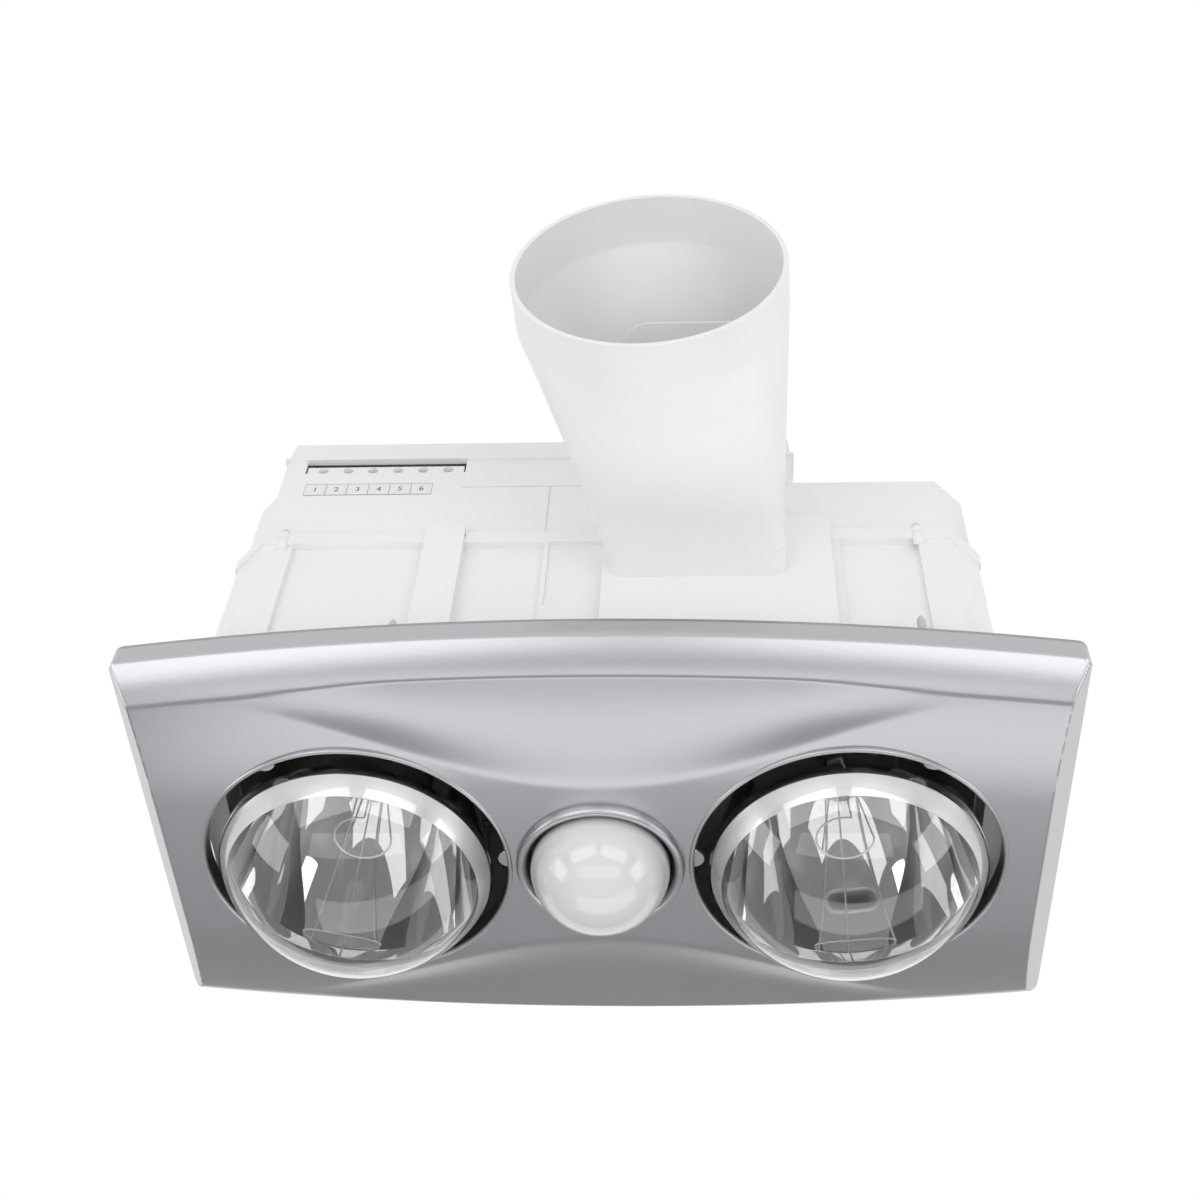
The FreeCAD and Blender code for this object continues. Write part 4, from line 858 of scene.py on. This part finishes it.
def duct_rounds(d, inset, flats=48, corners=10):
    """Matching points round both ends: a side of the square meets an arc of the circle, a corner less.

    Side k has its middle at the angle k pi / 2; b runs along it and a stands out from the middle.
    """
    k = np.arange(4)[:, None]
    half = np.array([d.base_width, d.base_height]) / 2 - inset
    out, wide = half[k % 2], half[(k + 1) % 2]
    r = d.base_corner - inset / 2
    s = np.linspace(-1, 1, flats, endpoint=False)
    c = np.linspace(0, np.pi / 2, corners, endpoint=False)
    a = np.concatenate([np.repeat(out, flats, 1), out - r + r * np.cos(c)], 1)
    b = np.concatenate([s * (wide - r), wide - r + r * np.sin(c)], 1)
    reach = np.pi / 4 * (1 - d.arc_share)
    turn = k * np.pi / 2
    square = np.stack([a * np.cos(turn) - b * np.sin(turn), a * np.sin(turn) + b * np.cos(turn)], -1)
    angle = (turn + np.concatenate([s * reach, reach + c * d.arc_share])).ravel()
    circle = (d.mouth_r - inset) * np.stack([np.cos(angle), np.sin(angle)], -1)
    return square.reshape(-1, 2), circle


def square_ring(d, inset, y):
    """The square end's outline at y, moved in by inset."""
    square, _ = duct_rounds(d, inset)
    x, z = square.T
    return np.stack([d.base_x + x, np.full(len(x), y), d.base_low + d.base_height / 2 + z], -1)


def duct_wall(d, inset, stations=48):
    """Straight square socket, straight lines from the square to the circle, then the tilted round spigot."""
    _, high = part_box("duct_adapter")
    spigot = next(m for m in frame["record"]["mounts"] if m["name"] == "duct_spigot")
    axis = np.array(spigot["axis"])
    across = np.cross((0, 0, 1), axis)
    across = across / np.linalg.norm(across)
    _, circle = duct_rounds(d, inset)
    middle_ring = np.array(spigot["pos_m"]) + circle[:, :1] * across + circle[:, 1:] * np.cross(axis, across)
    root = middle_ring - axis * d.spigot / 2
    base = square_ring(d, inset, high.y)
    start = square_ring(d, inset, high.y - d.socket)
    t = np.linspace(0, 1, stations)[:, None, None]
    return np.concatenate([base[None], start + (root - start) * t, (root + axis * d.spigot)[None]])


def duct_seat(d):
    """Flat rim inside the adapter for the flap, from its bore out into the wall."""
    _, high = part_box("duct_adapter")
    front = high.y - d.seat_depth
    bore = square_ring(d, d.seat_inset, front)
    edge = square_ring(d, d.wall / 2, front)
    back = np.array([0, -d.seat_rim, 0])
    return np.stack([bore, edge, edge + back, bore + back, bore])


class HEATER_OT_duct(bpy.types.Operator):
    """Makes the duct adapter as one smooth wall"""

    bl_idname = "heater.duct"
    bl_label = "Duct adapter"

    def execute(self, context):
        d = context.scene.heater_duct
        outer = duct_wall(d, 0)
        inner = duct_wall(d, d.wall)
        parts = [closed_rows(closed_shell(outer, inner)), closed_rows(duct_seat(d))]
        add_piece("duct_wall", *joined(parts), "housing", "white_plastic", ("duct_adapter",))
        return {"FINISHED"}


def block(low, high):
    """Box between two corners: its eight corners by the bits of their number, and six faces."""
    bits = np.arange(8)[:, None] >> np.array([2, 1, 0]) & 1
    points = np.where(bits, high, low)
    faces = [[0, 1, 3, 2], [4, 6, 7, 5], [0, 4, 5, 1], [2, 3, 7, 6], [0, 2, 6, 4], [1, 5, 7, 3]]
    return points, np.array(faces)


def number_grid(text, size, x, y, z):
    """Flat digits on an upright plane that faces -Y, with their middle at x, y, z: (points, faces)."""
    curve = bpy.data.curves.new("digit", "FONT")
    curve.body = text
    curve.size = size
    curve.align_x = "CENTER"
    curve.align_y = "CENTER"
    curve.resolution_u = 3
    holder = bpy.data.objects.new("digit", curve)
    mesh = bpy.data.meshes.new_from_object(holder)
    mesh.transform(Matrix.Translation((x, y, z)) @ Matrix.Rotation(np.pi / 2, 4, "X"))
    mesh.calc_loop_triangles()
    points = np.empty(len(mesh.vertices) * 3)
    mesh.vertices.foreach_get("co", points)
    faces = np.empty(len(mesh.loop_triangles) * 3, int)
    mesh.loop_triangles.foreach_get("vertices", faces)
    bpy.data.objects.remove(holder)
    return points.reshape(-1, 3), faces.reshape(-1, 3)


class HEATER_OT_label(bpy.types.Operator):
    """Makes the strip under the wiring slot and its numbers"""

    bl_idname = "heater.label"
    bl_label = "Terminal numbers"

    def execute(self, context):
        p = context.scene.heater_label
        paper = block((p.left, p.face - p.thick, p.low), (p.right, p.face, p.high))
        add_piece("label_strip", *paper, "housing", "white_plastic", look="label")
        pitch = (p.right - p.left) / p.cells
        places = [p.left + pitch * (n + 0.5) for n in range(p.cells)]
        level = (p.low + p.high) / 2
        front = p.face - p.thick * p.digit_lift
        ink = [number_grid(str(n + 1), p.digit, x, front, level) for n, x in enumerate(places)]
        add_piece("label_numbers", *joined(ink), "housing", "grey_plastic", outward=False, look="ink")
        return {"FINISHED"}


def thread_grid(p, x, y, high, count=24, rows=6):
    """Screw shank up to a point: its radius less a share of the thread's depth.

    The share follows the phase z / pitch - angle, with so many rows to a turn.
    """
    t = np.linspace(0, 2 * np.pi, count, endpoint=False)
    z = np.arange(p.seat, high, p.pitch / rows)[:, None]
    phase = (z / p.pitch - t / (2 * np.pi)) % 1
    depth = p.thread * p.shank_r * (1 - np.abs(2 * phase - 1))
    radius = (p.shank_r - depth) * np.clip((high - z) / p.tip, p.blunt, 1)
    return closed_rows(np.stack([x + radius * np.cos(t), y + radius * np.sin(t), np.repeat(z, count, 1)], -1))


class HEATER_OT_fixings(bpy.types.Operator):
    """Makes the threaded ceiling screws"""

    bl_idname = "heater.fixings"
    bl_label = "Ceiling screws"

    def execute(self, context):
        p = context.scene.heater_fixing
        low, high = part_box("fixing_screws")
        r = p.head_r
        head = [(0, low.z), (r * p.head_flat, low.z), (r * p.head_round, low.z + p.head_curve),
                (r, p.seat - p.head_edge), (r, p.seat), (0, p.seat)]
        parts = []
        for x in (low.x + r, high.x - r):
            for y in (low.y + r, high.y - r):
                parts.append(thread_grid(p, x, y, high.z))
                parts.append(turned_grid(head, x, y, count=24))
        add_piece("ceiling_screws", *joined(parts), "housing", "steel", ("fixing_screws",))
        return {"FINISHED"}


class HEATER_OT_works(bpy.types.Operator):
    """Gives every remaining solid the finish of its slot"""

    bl_idname = "heater.works"
    bl_label = "Inner works"

    def execute(self, context):
        for row in frame["record"]["subparts"]:
            mesh = frame["nodes"][row["node"]].data
            mesh.materials.clear()
            mesh.materials.append(finish(row["material_slot"]))
        return {"FINISHED"}


def soft_light(name, watts, width, depth, place, aim=(0, -0.1, 0.05)):
    """Soft box at a place, turned towards a point, or else the heater's front."""
    lamp = bpy.data.lights.new(name, "AREA")
    lamp.shape = "RECTANGLE"
    lamp.size = width
    lamp.size_y = depth
    lamp.energy = watts
    holder = bpy.data.objects.new(name, lamp)
    holder.location = place
    holder.rotation_euler = (Vector(aim) - Vector(place)).to_track_quat("-Z", "Y").to_euler()
    holder.visible_camera = False
    bpy.context.scene.collection.objects.link(holder)


def white_world(stage):
    """White for what the camera, gloss and glass see, a plain grey level for the light on the object."""
    s = Shader("studio", "worlds")
    path = s.node("ShaderNodeLightPath")
    seen = s.signal(path, "Is Camera Ray")
    for ray in ("Is Transmission Ray", "Is Glossy Ray"):
        seen = seen.math("MAXIMUM", s.signal(path, ray))
    fill, back = (s.node("ShaderNodeBackground", {"Color": (1, 1, 1, 1), "Strength": strength})
                  for strength in (stage.ambient, stage.white_point))
    choice = s.node("ShaderNodeMixShader", {0: seen, 1: s.signal(fill), 2: s.signal(back)})
    s.node("ShaderNodeOutputWorld", {"Surface": s.signal(choice)})
    bpy.context.scene.world = s.owner


class HEATER_OT_stage(bpy.types.Operator):
    """Sets up floor, light and camera"""

    bl_idname = "heater.stage"
    bl_label = "Stage"

    def execute(self, context):
        s = context.scene.heater_stage
        half = s.floor_size / 2
        corners = [(x * half, y * half, s.floor_level) for x, y in ((-1, -1), (1, -1), (1, 1), (-1, 1))]
        mesh = bpy.data.meshes.new("floor")
        mesh.from_pydata(corners, [], [(0, 1, 2, 3)])
        mesh.materials.append(floor_paint(s.floor_colour))
        floor = bpy.data.objects.new("floor", mesh)
        context.scene.collection.objects.link(floor)
        white_world(s)
        soft_light("low_box", s.low_power, width=1.6, depth=0.5, place=(0.3, 0.38, -0.84), aim=(0.3, 0.37, 0))
        soft_light("near_box", s.near_power, width=1.3, depth=0.42, place=(0, -0.5, -0.82), aim=(0, -0.3, 0))
        for side in (-1, 1):
            soft_light("front_box", s.front_power, width=1.1, depth=0.5, place=(0.6 * side, -1.2, -0.58))
            soft_light("side_box", s.side_power, width=0.5, depth=0.6, place=(1.2 * side, -0.25, -0.5))
        aim = Vector(s.camera_aim).normalized()
        right = Vector(s.camera_right)
        right = (right - aim * right.dot(aim)).normalized()
        up = right.cross(aim)
        camera = bpy.data.cameras.new("camera")
        camera.lens = s.lens
        camera.sensor_width = s.sensor
        camera.clip_start = s.clip
        holder = bpy.data.objects.new("camera", camera)
        turn = Matrix((right, up, -aim)).transposed().to_4x4()
        holder.matrix_world = Matrix.Translation(s.camera_place) @ turn
        context.scene.collection.objects.link(holder)
        context.scene.camera = holder
        context.scene.view_settings.view_transform = "Standard"
        return {"FINISHED"}


OPERATORS = (HEATER_OT_works, HEATER_OT_fascia, HEATER_OT_heat_lamps, HEATER_OT_light, HEATER_OT_casings,
             HEATER_OT_duct, HEATER_OT_label, HEATER_OT_fixings, HEATER_OT_stage)
SETTINGS = {
    "heater_fascia": FasciaSettings,
    "heater_lamp": LampSettings,
    "heater_casing": CasingSettings,
    "heater_duct": DuctSettings,
    "heater_label": LabelSettings,
    "heater_fixing": FixingSettings,
    "heater_finish": FinishSettings,
    "heater_stage": StageSettings,
}


class HEATER_PT_panel(bpy.types.Panel):
    """Lists the steps that dress the heater and the sizes and colours they use"""

    bl_idname = "HEATER_PT_panel"
    bl_label = "Bathroom heater"
    bl_space_type = "VIEW_3D"
    bl_region_type = "UI"
    bl_category = "Heater"

    def draw(self, context):
        for operator in OPERATORS:
            self.layout.operator(operator.bl_idname)
        for name, group in SETTINGS.items():
            box = self.layout.box()
            box.label(text=group.__doc__)
            for setting in group.__annotations__:
                box.prop(getattr(context.scene, name), setting)


def register():
    """Adds the settings, the operators and the panel to Blender."""
    for group in SETTINGS.values():
        bpy.utils.register_class(group)
    for name, group in SETTINGS.items():
        setattr(bpy.types.Scene, name, PointerProperty(type=group))
    for item in OPERATORS + (HEATER_PT_panel,):
        bpy.utils.register_class(item)


def unregister():
    """Takes out what register added."""
    for item in reversed(OPERATORS + (HEATER_PT_panel,)):
        bpy.utils.unregister_class(item)
    for name, group in SETTINGS.items():
        delattr(bpy.types.Scene, name)
        bpy.utils.unregister_class(group)


def main():
    """Runs each step."""
    register()
    bpy.ops.heater.works()
    bpy.ops.heater.fascia()
    bpy.ops.heater.heat_lamps()
    bpy.ops.heater.light()
    bpy.ops.heater.casings()
    bpy.ops.heater.duct()
    bpy.ops.heater.label()
    bpy.ops.heater.fixings()
    bpy.ops.heater.stage()


if __name__ == "__main__":
    main()
